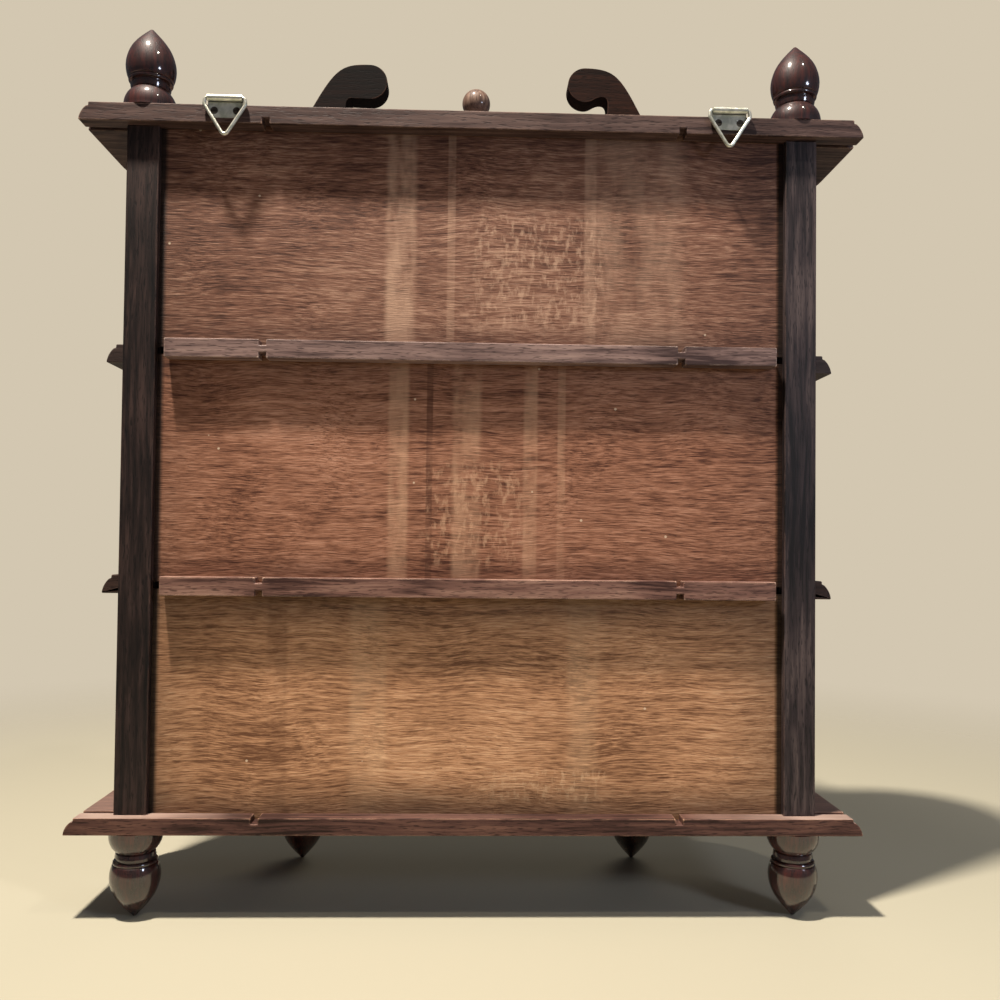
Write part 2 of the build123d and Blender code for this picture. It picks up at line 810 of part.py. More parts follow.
# Pediment
dowel_places = [-outer_dowel_x, -inner_dowel_x, 0.0, inner_dowel_x, outer_dowel_x]


def pediment_outline(mouth_drop):
    """The right scroll's outline: plinth side, foot, end, volute, mouth (lower by a drop) and saddle."""
    end_x = stile_outer_x
    volute_x = end_x - volute_inset
    volute_top = (volute_x, pediment_height)
    volute_inside = (volute_x - volute_radius, pediment_height - volute_radius)
    volute_bottom = (volute_x, pediment_height - 2 * volute_radius)
    notch = (end_x - notch_inset, pediment_height - notch_drop - mouth_drop)
    neck = (end_x - neck_inset, pediment_height - neck_drop - mouth_drop)
    outline = Polyline(
        (plinth_half_width, centre_rise_height),
        (plinth_half_width, 0),
        (end_x, 0),
        (end_x, pediment_end_height),
    )
    outline += Spline(
        (end_x, pediment_end_height),
        (end_x - flank_inset, pediment_height - flank_drop),
        (end_x - shoulder_inset, pediment_height - shoulder_drop),
        volute_top,
        tangents=[(0, 1), (-1, 0)],
    )
    outline += ThreePointArc(volute_top, volute_inside, volute_bottom)
    outline += Spline(volute_bottom, notch, tangents=[(1, 0), (1, 0)])
    outline += Spline(notch, neck, tangents=[(1, 0), (0, -1)])
    outline += Spline(
        neck,
        (end_x - saddle_inset, saddle_height),
        (plinth_half_width, centre_rise_height),
        tangents=[(0, -1), (-1, 0)],
    )
    return outline


def make_scroll(lean, mouth_drop):
    """A scroll at the right side, leaning towards the middle about its foot, its underside planed level."""
    face = make_face(Plane.XZ * pediment_outline(mouth_drop))
    plate = extrude(face, pediment_thickness, dir=(0, -1, 0))
    plate = plate.rotate(Axis((stile_outer_x, 0, 0), (0, 1, 0)), -lean)
    rear = pediment_front - pediment_thickness
    scroll = Pos(0, from_back(rear), top_top) * plate
    limits = (plinth_half_width, stile_outer_x + past)
    depths = (rear - past, pediment_front + past)
    scroll &= block(limits, depths, (top_top, top_top + pediment_height + past))
    front_edges = scroll.edges().group_by(Axis.Y)[0]
    curved_edges = front_edges.filter_by(GeomType.LINE, reverse=True)
    scroll = fillet(curved_edges, pediment_arris)
    for x in (inner_dowel_x, outer_dowel_x):
        scroll -= pediment_dowel_hole(x)
    return scroll


def pediment_dowel_hole(x):
    z_range = (top_top - past, top_top + dowel_length - dowel_sink + dowel_end_gap)
    return upright_rod(x, pediment_centre_depth, z_range, dowel_radius + fit_clearance)


def make_dowels():
    z_range = (top_top - dowel_sink, top_top - dowel_sink + dowel_length)
    dowels = [upright_rod(x, pediment_centre_depth, z_range, dowel_radius) for x in dowel_places]
    return Compound(children=dowels)


def make_plinth():
    near = pediment_centre_depth - plinth_depth / 2
    far = pediment_centre_depth + plinth_depth / 2
    plinth_top = top_top + plinth_height
    cap_bottom = plinth_top - plinth_cap_height
    reach = plinth_cap_overhang
    body = block((-plinth_half_width, plinth_half_width), (near, far), (top_top, cap_bottom))
    cap_x = (-plinth_half_width - reach, plinth_half_width + reach)
    cap = block(cap_x, (near - reach, far + reach), (cap_bottom, plinth_top))
    cap = chamfer(cap.edges().group_by(Axis.Z)[-1], reach)
    plinth = body + cap - pediment_dowel_hole(0)
    spigot_hole = (plinth_top - ball_spigot_length - dowel_end_gap, plinth_top + past)
    return plinth - upright_rod(0, pediment_centre_depth, spigot_hole, dowel_radius + fit_clearance)


def make_ball_finial():
    base = plinth_height
    ball_centre = ball_top_height - ball_radius
    collar_top = base + ball_collar_height
    collar_middle = (ball_collar_radius + ball_collar_bulge, base + ball_collar_height / 2)
    profile = Polyline(
        (0, base - ball_spigot_length),
        (dowel_radius, base - ball_spigot_length),
        (dowel_radius, base),
        (ball_collar_radius, base),
    )
    profile += ThreePointArc((ball_collar_radius, base), collar_middle, (ball_collar_radius, collar_top))
    join_angle = math.asin(ball_neck_radius / ball_radius)
    join_height = ball_centre - ball_radius * math.cos(join_angle)
    profile += Spline(
        (ball_collar_radius, collar_top),
        (ball_neck_radius, base + ball_neck_height),
        (ball_neck_radius, join_height),
    )
    profile += ThreePointArc(
        (ball_neck_radius, join_height), (ball_radius, ball_centre), (0, ball_top_height)
    )
    profile += Polyline((0, ball_top_height), (0, base - ball_spigot_length))
    turned = revolve(make_face(Plane.XZ * profile), Axis.Z)
    return Pos(0, from_back(pediment_centre_depth), top_top) * turned


# Hangers
eye_height = top_top + strap_eye_rise
hanger_screw_places = [
    Pos(centre + offset, from_back(-strap_thickness), top_bottom + hanger_screw_rise) * Rot(-90, 0, 0)
    for centre in hanger_centres.values()
    for offset in (-hanger_screw_offset, hanger_screw_offset)
]


def make_strap(centre):
    x_range = (centre - strap_half_width, centre + strap_half_width)
    bore_range = (x_range[0] - past, x_range[1] + past)
    plate = block(x_range, (-strap_thickness, 0), (top_bottom + strap_bottom_rise, eye_height))
    corners = plate.edges().filter_by(Axis.Y).group_by(Axis.Z)[0]
    strap = fillet(corners, strap_corner_radius)
    strap += lying_rod(x_range, -strap_eye_reach, eye_height, strap_eye_radius)
    strap -= lying_rod(bore_range, -strap_eye_reach, eye_height, strap_eye_bore_radius)
    for place in hanger_screw_places:
        strap -= place * countersunk_hole(*small_screw_sizes, hanger_screw_length)
    return strap


def make_ring(centre):
    corners = [
        (-ring_corner_x, 0),
        (ring_corner_x, 0),
        (ring_shoulder_x, -ring_shoulder_drop),
        (0, -ring_drop),
        (-ring_shoulder_x, -ring_shoulder_drop),
    ]
    radii = [ring_corner_radius, ring_corner_radius, ring_corner_radius, ring_apex_radius, ring_corner_radius]
    y = from_back(-strap_eye_reach)
    points = [(centre + x, y, eye_height + z) for x, z in corners]
    path = FilletPolyline(*points, radius=radii, close=True)
    start = Plane(origin=path @ 0, z_dir=path % 0)
    return sweep(start * Circle(ring_wire_radius), path=path)


def make_hanger_screws():
    screw = countersunk_screw(*small_screw_sizes, hanger_screw_length)
    return Compound(children=[place * screw for place in hanger_screw_places])


# Putting the pieces together
def build():
    parts = {}
    parts["base_board"] = make_base_board()
    parts["top_board"] = make_top_board()
    parts["lower_shelf"] = make_shelf(lower_shelf_bottom)
    parts["upper_shelf"] = make_shelf(upper_shelf_bottom)
    post = make_right_post()
    parts["rear_post_right"] = post
    parts["rear_post_left"] = other_side(post)
    pins = [shelf_pin(z_bottom) for z_bottom in (lower_shelf_bottom, upper_shelf_bottom)]
    parts["shelf_pins"] = Compound(children=pins + [other_side(pin) for pin in pins])
    for bay in bays:
        parts["back_panel_" + bay] = make_back_panel(bay)
    parts["foot_rear_right"] = make_foot(turning_x, post_centre_depth)
    parts["foot_rear_left"] = make_foot(-turning_x, post_centre_depth)
    parts["foot_front_right"] = make_foot(stile_centre_x, stile_centre_depth)
    parts["foot_front_left"] = make_foot(-stile_centre_x, stile_centre_depth)
    finial = make_right_finial()
    parts["finial_right"] = finial
    parts["finial_left"] = other_side(finial)

    stile = make_right_stile()
    left_stile = other_side(stile)
    for z_middle in hinge_heights.values():
        left_stile -= hinge_recess(z_middle, -1)
    parts["front_stile_right"] = stile
    parts["front_stile_left"] = left_stile
    parts["top_board_screws"] = make_top_board_screws()
    for bay in bays:
        pane = make_right_pane(bay)
        parts["side_glass_right_" + bay] = pane
        parts["side_glass_left_" + bay] = other_side(pane)

    whole = door_shape()
    hinge_stile = make_door_stile((door_left, opening_left), whole)
    for z_middle in hinge_heights.values():
        hinge_stile -= hinge_recess(z_middle, 1)
    knob_stile = make_door_stile((opening_right, door_right), whole)
    knob_hole = Cylinder(knob_screw_radius + fit_clearance, 2 * (door_thickness + past))
    knob_stile -= knob_place(door_rear) * knob_hole
    top_rail = make_door_rail((opening_top, door_top), whole)
    top_rail -= strike_place * countersunk_hole(*small_screw_sizes, strike_screw_length)
    parts["door_stile_hinge_side"] = hinge_stile
    parts["door_stile_knob_side"] = knob_stile
    parts["door_rail_top"] = top_rail
    parts["door_rail_bottom"] = make_door_rail((door_bottom, opening_bottom), whole)
    parts["door_glass"] = make_door_glass()
    parts["glazing_beads"] = make_glazing_beads()
    for level, z_middle in hinge_heights.items():
        parts["hinge_" + level + "_frame_leaf"] = make_hinge_leaf(z_middle, -1)
        parts["hinge_" + level + "_door_leaf"] = make_hinge_leaf(z_middle, 1)
        parts["hinge_" + level + "_pin"] = make_hinge_pin(z_middle)
    parts["hinge_screws_frame"] = make_hinge_screws(-1)
    parts["hinge_screws_door"] = make_hinge_screws(1)
    parts["door_knob"] = make_knob()
    parts["door_knob_screw"] = make_knob_screw()
    parts["catch_body"] = make_catch_body()
    parts["catch_magnet"] = magnet_block(0)
    parts["catch_screws"] = make_catch_screws()
    parts["strike_plate"] = make_strike_plate()
    parts["strike_screw"] = strike_place * countersunk_screw(*small_screw_sizes, strike_screw_length)

    parts["pediment_scroll_right"] = make_scroll(right_scroll_lean, right_mouth_drop)
    parts["pediment_scroll_left"] = other_side(make_scroll(0, 0))
    parts["pediment_plinth"] = make_plinth()
    parts["pediment_dowels"] = make_dowels()
    parts["ball_finial"] = make_ball_finial()

    for side, centre in hanger_centres.items():
        parts["hanger_strap_" + side] = make_strap(centre)
        parts["hanger_ring_" + side] = make_ring(centre)
    parts["hanger_screws"] = make_hanger_screws()
    return parts


os.makedirs("parts", exist_ok=True)
for name, shape in build().items():
    export_step(shape, os.path.join("parts", name + ".step"))
print("origin to the boards' back edge", round(back_y, 3), "mm")
print("hinge axis", round(hinge_axis_x, 3), round(from_back(hinge_axis_depth), 3))
print("ring axis", round(from_back(-strap_eye_reach), 3), round(eye_height, 3))
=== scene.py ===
import math

import bmesh
import bpy
from mathutils import Matrix, Vector


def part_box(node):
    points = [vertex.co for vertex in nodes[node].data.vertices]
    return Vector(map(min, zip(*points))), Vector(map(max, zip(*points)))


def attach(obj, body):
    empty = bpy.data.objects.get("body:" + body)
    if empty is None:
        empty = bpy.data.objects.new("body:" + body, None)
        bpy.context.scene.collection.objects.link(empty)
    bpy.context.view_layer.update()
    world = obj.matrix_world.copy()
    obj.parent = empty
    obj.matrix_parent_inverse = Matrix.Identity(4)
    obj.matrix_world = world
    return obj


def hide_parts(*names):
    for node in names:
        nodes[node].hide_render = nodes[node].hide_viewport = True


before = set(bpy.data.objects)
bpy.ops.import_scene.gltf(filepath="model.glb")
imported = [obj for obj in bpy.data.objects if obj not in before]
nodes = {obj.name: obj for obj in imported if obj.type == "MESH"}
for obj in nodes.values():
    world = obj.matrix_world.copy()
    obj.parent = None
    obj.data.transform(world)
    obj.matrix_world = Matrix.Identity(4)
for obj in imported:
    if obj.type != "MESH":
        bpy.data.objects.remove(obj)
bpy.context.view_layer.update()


# Camera
# The lens is as far behind the boards' back edge, as high and as slightly turned as in the photograph. Its
# view is moved up a little, so that the upright lines lean as they do there.
lens_behind = 0.46552
lens_height = 0.18966
lens_side = -0.00021
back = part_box("top_board")[1].y
turned_left = 0.03045
tipped_up = 0.02426
rolled = 0.01065
camera = bpy.data.objects.new("camera", bpy.data.cameras.new("camera"))
bpy.context.scene.collection.objects.link(camera)
camera.data.sensor_width = 36
camera.data.lens = 33.264
camera.data.shift_y = 0.02174
camera.data.clip_start = 0.01
camera.matrix_world = (
    Matrix.Translation((lens_side, back + lens_behind, lens_height))
    @ Matrix.Rotation(math.pi - turned_left, 4, "Z")
    @ Matrix.Rotation(math.pi / 2 + tipped_up, 4, "X")
    @ Matrix.Rotation(rolled, 4, "Z")
)
bpy.context.scene.camera = camera
bpy.context.scene.view_settings.view_transform = "Standard"


# Floor and background
# A plain cream table top, matt, which takes the cabinet's shadow. It thins out into the plain background well
# away from the cabinet, so that no edge or horizon shows.
def linear(hex_colour):
    """An sRGB hex colour as linear values for a shader."""
    channels = [int(hex_colour[i : i + 2], 16) / 255 for i in (1, 3, 5)]
    return [c / 12.92 if c <= 0.04045 else ((c + 0.055) / 1.055) ** 2.4 for c in channels] + [1.0]


def add(tree, kind, settings=None, **links):
    """Adds a node. Settings are properties or inputs; links are sockets, by input name or as in0, in1."""
    node = tree.nodes.new(kind)
    for key, value in (settings or {}).items():
        if isinstance(key, int):
            node.inputs[key].default_value = value
        elif hasattr(node, key):
            setattr(node, key, value)
        else:
            node.inputs[key].default_value = value
    for key, socket in links.items():
        numbered = key.startswith("in") and key[2:].isdigit()
        entry = node.inputs[int(key[2:]) if numbered else key.replace("_", " ")]
        tree.links.new(socket, entry)
    return node


def new_material(name):
    """An empty node material with its tree and Principled shader."""
    material = bpy.data.materials.new(name)
    material.use_nodes = True
    tree = material.node_tree
    return material, tree, tree.nodes["Principled BSDF"]


floor_colour = "#aba692"
background_colour = "#d3c7b1"
floor_radius, fades_from, fades_to = 1.6, 0.3, 0.95
bpy.ops.object.select_all(action="DESELECT")
bpy.ops.mesh.primitive_circle_add(vertices=96, radius=floor_radius, fill_type="NGON")
floor = bpy.context.object
floor.name = "floor"
floor_material, tree, shader = new_material("pale_table_top")
shader.inputs["Base Color"].default_value = linear(floor_colour)
shader.inputs["Roughness"].default_value = 0.75
place = add(tree, "ShaderNodeTexCoord")
distance = add(tree, "ShaderNodeVectorMath", {"operation": "LENGTH"}, Vector=place.outputs["Object"])
fade = add(
    tree,
    "ShaderNodeMapRange",
    {"interpolation_type": "SMOOTHSTEP", "From Min": fades_from, "From Max": fades_to},
    Value=distance.outputs["Value"],
)
clear = add(tree, "ShaderNodeBsdfTransparent")
shown = {"in0": fade.outputs[0], "in1": shader.outputs[0], "in2": clear.outputs[0]}
mix = add(tree, "ShaderNodeMixShader", **shown)
tree.links.new(mix.outputs[0], tree.nodes["Material Output"].inputs["Surface"])
floor.data.materials.append(floor_material)

world = bpy.data.worlds.new("plain_background")
bpy.context.scene.world = world
world.use_nodes = True
tree = world.node_tree
rays = add(tree, "ShaderNodeLightPath")
seen = add(
    tree,
    "ShaderNodeMath",
    {"operation": "MAXIMUM"},
    in0=rays.outputs["Is Camera Ray"],
    in1=rays.outputs["Is Transmission Ray"],
)
plain = add(tree, "ShaderNodeBackground", {"Color": linear(background_colour), "Strength": 1.0})
ambient_light = add(tree, "ShaderNodeBackground", {"Color": linear("#f4f5ff"), "Strength": 0.10})
shown = {"in0": seen.outputs[0], "in1": ambient_light.outputs[0], "in2": plain.outputs[0]}
mix = add(tree, "ShaderNodeMixShader", **shown)
tree.links.new(mix.outputs[0], tree.nodes["World Output"].inputs["Surface"])


# Lamps
# One lamp hangs nearly overhead, a little behind the cabinet and to its side, so that the top and the shelves
# shade the panels below them. A weak one overhead at the other side adds a second glint to the turnings. A
# cool one beside the camera and a broad one at the front open the shadows.
def lamp(name, place, size, watts, colour):
    """A round lamp turned to the middle of the cabinet; it isn't seen through the glass."""
    light = bpy.data.lights.new(name, "AREA")
    light.shape = "DISK"
    light.size = size
    light.energy = watts
    light.color = linear(colour)[:3]
    holder = bpy.data.objects.new(name, light)
    bpy.context.scene.collection.objects.link(holder)
    holder.location = place
    aim = cabinet_middle - Vector(place)
    holder.rotation_euler = aim.to_track_quat("-Z", "Y").to_euler()
    holder.visible_transmission = False
    return holder


cabinet_middle = Vector((0, 0, 0.22))
lamp("lamp_overhead", (0.29, back + 0.275, 1.47), 0.09, 44, "#fff4e6")
lamp("lamp_camera_side", (-0.65, 0.6, 0.42), 0.16, 1.7, "#dfe8ff")
front_side = lamp("lamp_front_side", (-0.5, -1.5, 0.9), 1.2, 7, "#fff6ec")
front_side.visible_glossy = False
lamp("lamp_overhead_right", (-0.55, back + 0.5, 1.45), 0.06, 3, "#fff4e6")


# Boards
# The base and the top are planed boards with rounded front corners. A moulding plane ran a quarter round and
# a small step along the front and the ends; the back is left square, and saw cuts take the panels and the
# side glass.
mm = 0.001


def wood_grain(tree, along, streak_length, streak_width, sway=2.0, detail=3.0):
    """Noise drawn out along one axis, in millimetres, whose lines sway a little as grain does."""
    place = add(tree, "ShaderNodeTexCoord")
    settings = {"Scale": 1 / (62.5 * mm), "Detail": 1.0}
    drift = add(tree, "ShaderNodeTexNoise", settings, Vector=place.outputs["Object"])
    swayed = add(
        tree,
        "ShaderNodeVectorMath",
        {"operation": "MULTIPLY_ADD", 1: [sway * mm] * 3},
        in0=drift.outputs["Color"],
        in2=place.outputs["Object"],
    )
    scale = [1 / (streak_width * mm)] * 3
    scale["XYZ".index(along)] = 1 / (streak_length * mm)
    stretched = add(tree, "ShaderNodeMapping", {"Scale": scale}, Vector=swayed.outputs["Vector"])
    return add(
        tree,
        "ShaderNodeTexNoise",
        {"Scale": 1.0, "Detail": detail, "Roughness": 0.6},
        Vector=stretched.outputs["Vector"],
    )


# Solid mahogany, planed smooth and stained a dark purple-brown under a thin satin lacquer. The eye sees fine
# dark pores along the grain, slow changes of colour, and pale reddish wood where handling has worn the sharp
# edges.
def stained_mahogany(name, along, deep, middle, light, worn, gloss=0.5, wear=1.0, dust=0.0, dark_ends=0.0):
    """Wood in three stains along its grain, with worn arrises, and where asked dust on top or dark ends."""
    material, tree, shader = new_material(name)
    figure = wood_grain(tree, along, 50, 2.2, sway=5.0)
    # Real pores are 0.2 mm wide, too fine to show, so they are drawn three times as wide.
    pores = wood_grain(tree, along, 5.5, 0.6, detail=1.0)
    place = add(tree, "ShaderNodeTexCoord")
    # The stain took unevenly, in patches about 70 mm across.
    settings = {"Scale": 1 / (71.43 * mm), "Detail": 2.0}
    patches = add(tree, "ShaderNodeTexNoise", settings, Vector=place.outputs["Object"])
    half_patches = add(tree, "ShaderNodeMath", {"operation": "MULTIPLY", 1: 0.4}, in0=patches.outputs["Fac"])
    tone = add(
        tree,
        "ShaderNodeMath",
        {"operation": "MULTIPLY_ADD", 1: 0.6},
        in0=figure.outputs["Fac"],
        in2=half_patches.outputs[0],
    )
    stain = add(tree, "ShaderNodeValToRGB", None, Fac=tone.outputs[0])
    ramp = stain.color_ramp
    ramp.elements[0].position, ramp.elements[0].color = 0.38, linear(deep)
    ramp.elements[1].position, ramp.elements[1].color = 0.64, linear(light)
    ramp.elements.new(0.5).color = linear(middle)
    pore_mask = add(
        tree,
        "ShaderNodeMapRange",
        {"From Min": 0.56, "From Max": 0.66, "To Max": 0.75},
        Value=pores.outputs["Fac"],
    )
    with_pores = add(
        tree,
        "ShaderNodeMix",
        {"data_type": "RGBA", 7: linear(deep)},
        in0=pore_mask.outputs[0],
        in6=stain.outputs["Color"],
    )
    # Occlusion seen from inside the wood finds the last millimetre at each arris.
    near_edge = add(
        tree,
        "ShaderNodeAmbientOcclusion",
        {"samples": 6, "inside": True, "only_local": True, "Distance": 1.0 * mm},
    )
    edge = add(
        tree, "ShaderNodeMapRange", {"From Min": 0.8, "From Max": 0.55}, Value=near_edge.outputs["AO"]
    )
    scuffs = wood_grain(tree, along, 11, 3)
    scuff_mask = add(
        tree, "ShaderNodeMapRange", {"From Min": 0.42, "From Max": 0.54}, Value=scuffs.outputs["Fac"]
    )
    rubbed = add(
        tree, "ShaderNodeMath", {"operation": "MULTIPLY"}, in0=edge.outputs[0], in1=scuff_mask.outputs[0]
    )
    rubbed_amount = add(tree, "ShaderNodeMath", {"operation": "MULTIPLY", 1: wear}, in0=rubbed.outputs[0])
    colour = add(
        tree,
        "ShaderNodeMix",
        {"data_type": "RGBA", 7: linear(worn)},
        in0=rubbed_amount.outputs[0],
        in6=with_pores.outputs[2],
    )
    spot = add(tree, "ShaderNodeSeparateXYZ", None, Vector=place.outputs["Object"])
    across = add(tree, "ShaderNodeMath", {"operation": "ABSOLUTE"}, in0=spot.outputs["X"])
    if dark_ends:
        # Outside the posts the wood is darker.
        outside = add(
            tree,
            "ShaderNodeMapRange",
            {"From Min": 152 * mm, "From Max": 166 * mm, "To Max": dark_ends},
            Value=across.outputs[0],
        )
        colour = add(
            tree,
            "ShaderNodeMix",
            {"data_type": "RGBA", 7: linear("#1d1614")},
            in0=outside.outputs[0],
            in6=colour.outputs[2],
        )
    if dust:
        # Dust lies on faces that look up, thickest behind the panels and outside the posts.
        surface = add(tree, "ShaderNodeNewGeometry")
        facing = add(tree, "ShaderNodeSeparateXYZ", None, Vector=surface.outputs["Normal"])
        settings = {"From Min": 0.6, "From Max": 0.95, "To Max": dust}
        amount = add(tree, "ShaderNodeMapRange", settings, Value=facing.outputs["Z"])
        for value, start, end, least in (
            (spot.outputs["Y"], 48.5 * mm, 50.5 * mm, 0.3),
            (across.outputs[0], 110 * mm, 165 * mm, 0.05),
            (patches.outputs["Fac"], 0.42, 0.56, 0.4),
        ):
            settings = {"From Min": start, "From Max": end, "To Min": least}
            layer = add(tree, "ShaderNodeMapRange", settings, Value=value)
            times = {"in0": amount.outputs[0], "in1": layer.outputs[0]}
            amount = add(tree, "ShaderNodeMath", {"operation": "MULTIPLY"}, **times)
        colour = add(
            tree,
            "ShaderNodeMix",
            {"data_type": "RGBA", 7: linear("#b59d90")},
            in0=amount.outputs[0],
            in6=colour.outputs[2],
        )
    tree.links.new(colour.outputs[2], shader.inputs["Base Color"])
    sheen = add(
        tree,
        "ShaderNodeMapRange",
        {"To Min": gloss - 0.06, "To Max": gloss + 0.14},
        Value=patches.outputs["Fac"],
    )
    tree.links.new(sheen.outputs[0], shader.inputs["Roughness"])
    relief = add(
        tree,
        "ShaderNodeBump",
        {"Strength": 0.3, "Distance": 0.2 * mm, "invert": True},
        Height=pore_mask.outputs[0],
    )
    tree.links.new(relief.outputs["Normal"], shader.inputs["Normal"])
    shader.inputs["Specular IOR Level"].default_value = 0.25
    return material


def choose(piece, kind, test):
    """Selects, in edit mode, only the points, edges or faces whose middle passes a test."""
    bpy.ops.mesh.select_mode(type=kind)
    bpy.ops.mesh.select_all(action="DESELECT")
    mesh = bmesh.from_edit_mesh(piece.data)
    for part in {"VERT": mesh.verts, "EDGE": mesh.edges, "FACE": mesh.faces}[kind]:
        points = [part.co] if kind == "VERT" else [point.co for point in part.verts]
        if test(sum(points, Vector()) / len(points), part):
            part.select_set(True)
    bmesh.update_edit_mesh(piece.data)


def only(piece):
    """Leaves one piece selected and active, in object mode."""
    if bpy.context.object is not None and bpy.context.object.mode != "OBJECT":
        bpy.ops.object.mode_set(mode="OBJECT")
    bpy.ops.object.select_all(action="DESELECT")
    piece.select_set(True)
    bpy.context.view_layer.objects.active = piece


def cube(name, low, high):
    """A cube between two corners, ready to be shaped: its place is in its mesh."""
    bpy.ops.object.select_all(action="DESELECT")
    bpy.ops.mesh.primitive_cube_add(size=1, location=[(a + b) / 2 for a, b in zip(low, high)])
    piece = bpy.context.object
    piece.name = name
    piece.scale = [b - a for a, b in zip(low, high)]
    bpy.ops.object.transform_apply(location=True, rotation=True, scale=True)
    return piece


def cut_away(piece, cutter):
    """Cuts one object's shape out of a piece, and removes the cutter."""
    only(piece)
    cut = piece.modifiers.new("cut", "BOOLEAN")
    cut.operation = "DIFFERENCE"
    cut.solver = "EXACT"
    cut.object = cutter
    bpy.ops.object.modifier_apply(modifier="cut")
    bpy.data.objects.remove(cutter)


def saw(piece, low, high):
    """Cuts the space between two corners out of a piece."""
    cut_away(piece, cube("cutter", low, high))


def ease(piece, width, sharper_than=35, segments=2):
    """Takes the sharpness off every arris, as sandpaper and use do."""
    only(piece)
    arris = piece.modifiers.new("arris", "BEVEL")
    arris.width = width
    arris.segments = segments
    arris.limit_method = "ANGLE"
    arris.angle_limit = math.radians(sharper_than)
    arris.use_clamp_overlap = False
    bpy.ops.object.modifier_apply(modifier="arris")


def finish(piece, material, body, slot, *replaced, smooth_below=35):
    """Closes a piece's mesh, faces it outwards with level flats, and gives it its material and body; the slot
    is not used.
    """
    only(piece)
    bpy.ops.object.transform_apply(location=True, rotation=True, scale=True)
    bpy.ops.object.mode_set(mode="EDIT")
    bpy.ops.mesh.select_all(action="SELECT")
    bpy.ops.mesh.remove_doubles(threshold=0.000002)
    bpy.ops.mesh.normals_make_consistent(inside=False)
    bpy.ops.object.mode_set(mode="OBJECT")
    bpy.ops.object.shade_smooth_by_angle(angle=math.radians(smooth_below))
    flats = piece.modifiers.new("flats", "WEIGHTED_NORMAL")
    flats.weight = 100
    flats.keep_sharp = True
    bpy.ops.object.modifier_apply(modifier="flats")
    piece.data.materials.clear()
    piece.data.materials.append(material)
    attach(piece, body)
    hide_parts(*replaced)


# The moulding, from below: a small upright nose, a quarter round in seven flats, and a step.
nose_height = 0.6 * mm
nose_lean = math.radians(8.5)
round_inset = 3.8 * mm
round_steps = 7
step_inset = 1.0 * mm
step_height = 1.9 * mm
# The saw cuts.
groove_depth = 3.0 * mm
glass_groove_half = 1.8 * mm
glass_low, glass_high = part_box("side_glass_right_upper")
glass_x = (glass_low.x + glass_high.x) / 2
panel_low, panel_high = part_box("back_panel_upper")
panel_play = 0.1 * mm
past_ends = 210 * mm
stile_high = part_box("front_stile_right")[1]


def moulded_board(name, low, high, corner):
    """A board with its front corners rounded and the moulding run round its front and ends."""
    # The moulding would run round the back too, so the board is made too deep and then cut off square.
    spare = 12 * mm
    bpy.ops.object.select_all(action="DESELECT")
    bpy.ops.mesh.primitive_plane_add(size=1, location=(0, (low.y + high.y + spare) / 2, low.z))
    board = bpy.context.object
    board.name = name
    board.scale = (high.x - low.x, high.y + spare - low.y, 1)
    bpy.ops.object.transform_apply(location=True, rotation=True, scale=True)
    bpy.ops.object.mode_set(mode="EDIT")
    choose(board, "VERT", lambda middle, part: middle.y < low.y + mm)
    bpy.ops.mesh.bevel(offset=corner, offset_type="OFFSET", segments=24, affect="VERTICES")
    bpy.ops.mesh.select_mode(type="FACE")
    bpy.ops.mesh.select_all(action="SELECT")
    bpy.ops.mesh.extrude_region_move(TRANSFORM_OT_translate={"value": (0, 0, nose_height)})
    rise = high.z - low.z - nose_height - step_height
    chord = math.hypot(round_inset, rise)
    half_turn = math.atan2(round_inset, rise) - nose_lean
    length = chord * math.sin(half_turn / round_steps) / math.sin(half_turn)
    for step in range(round_steps):
        lean = nose_lean + (2 * step + 1) * half_turn / round_steps
        bpy.ops.mesh.inset(thickness=length * math.sin(lean), depth=length * math.cos(lean))
    bpy.ops.mesh.inset(thickness=step_inset, depth=0)
    bpy.ops.mesh.extrude_region_move(TRANSFORM_OT_translate={"value": (0, 0, step_height)})
    bpy.ops.mesh.select_all(action="SELECT")
    bpy.ops.mesh.bisect(plane_co=(0, high.y, 0), plane_no=(0, 1, 0), use_fill=True, clear_outer=True)
    bpy.ops.object.mode_set(mode="OBJECT")
    return board


def saw_grooves(board, z_low, z_high, rear):
    """The grooves in one face: two for the side glass, open at the back edge, and one for the panels."""
    for sign in (-1, 1):
        low = (sign * glass_x - glass_groove_half, stile_high.y - groove_depth, z_low)
        high = (sign * glass_x + glass_groove_half, rear + mm, z_high)
        saw(board, low, high)
    low = (-past_ends, panel_low.y - panel_play, z_low)
    saw(board, low, (past_ends, panel_high.y + panel_play, z_high))


board_colours = {
    "base_board": ("#22100c", "#4f342e", "#6e4e42", "#d6a98a"),
    "top_board": ("#261816", "#4e3b36", "#69544d", "#c8a28c"),
}
board_corner = 54 * mm
for name, colours in board_colours.items():
    wood = stained_mahogany("stained_mahogany_" + name, "X", *colours, wear=0.8, dust=0.7)
    low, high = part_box(name)
    board = moulded_board("moulded_" + name, low, high, board_corner)
    if name == "base_board":
        saw_grooves(board, high.z - groove_depth, high.z + mm, high.y)
    else:
        saw_grooves(board, low.z - mm, low.z + groove_depth, high.y)
    ease(board, 0.5 * mm)
    finish(board, wood, "cabinet", "case_wood", name)


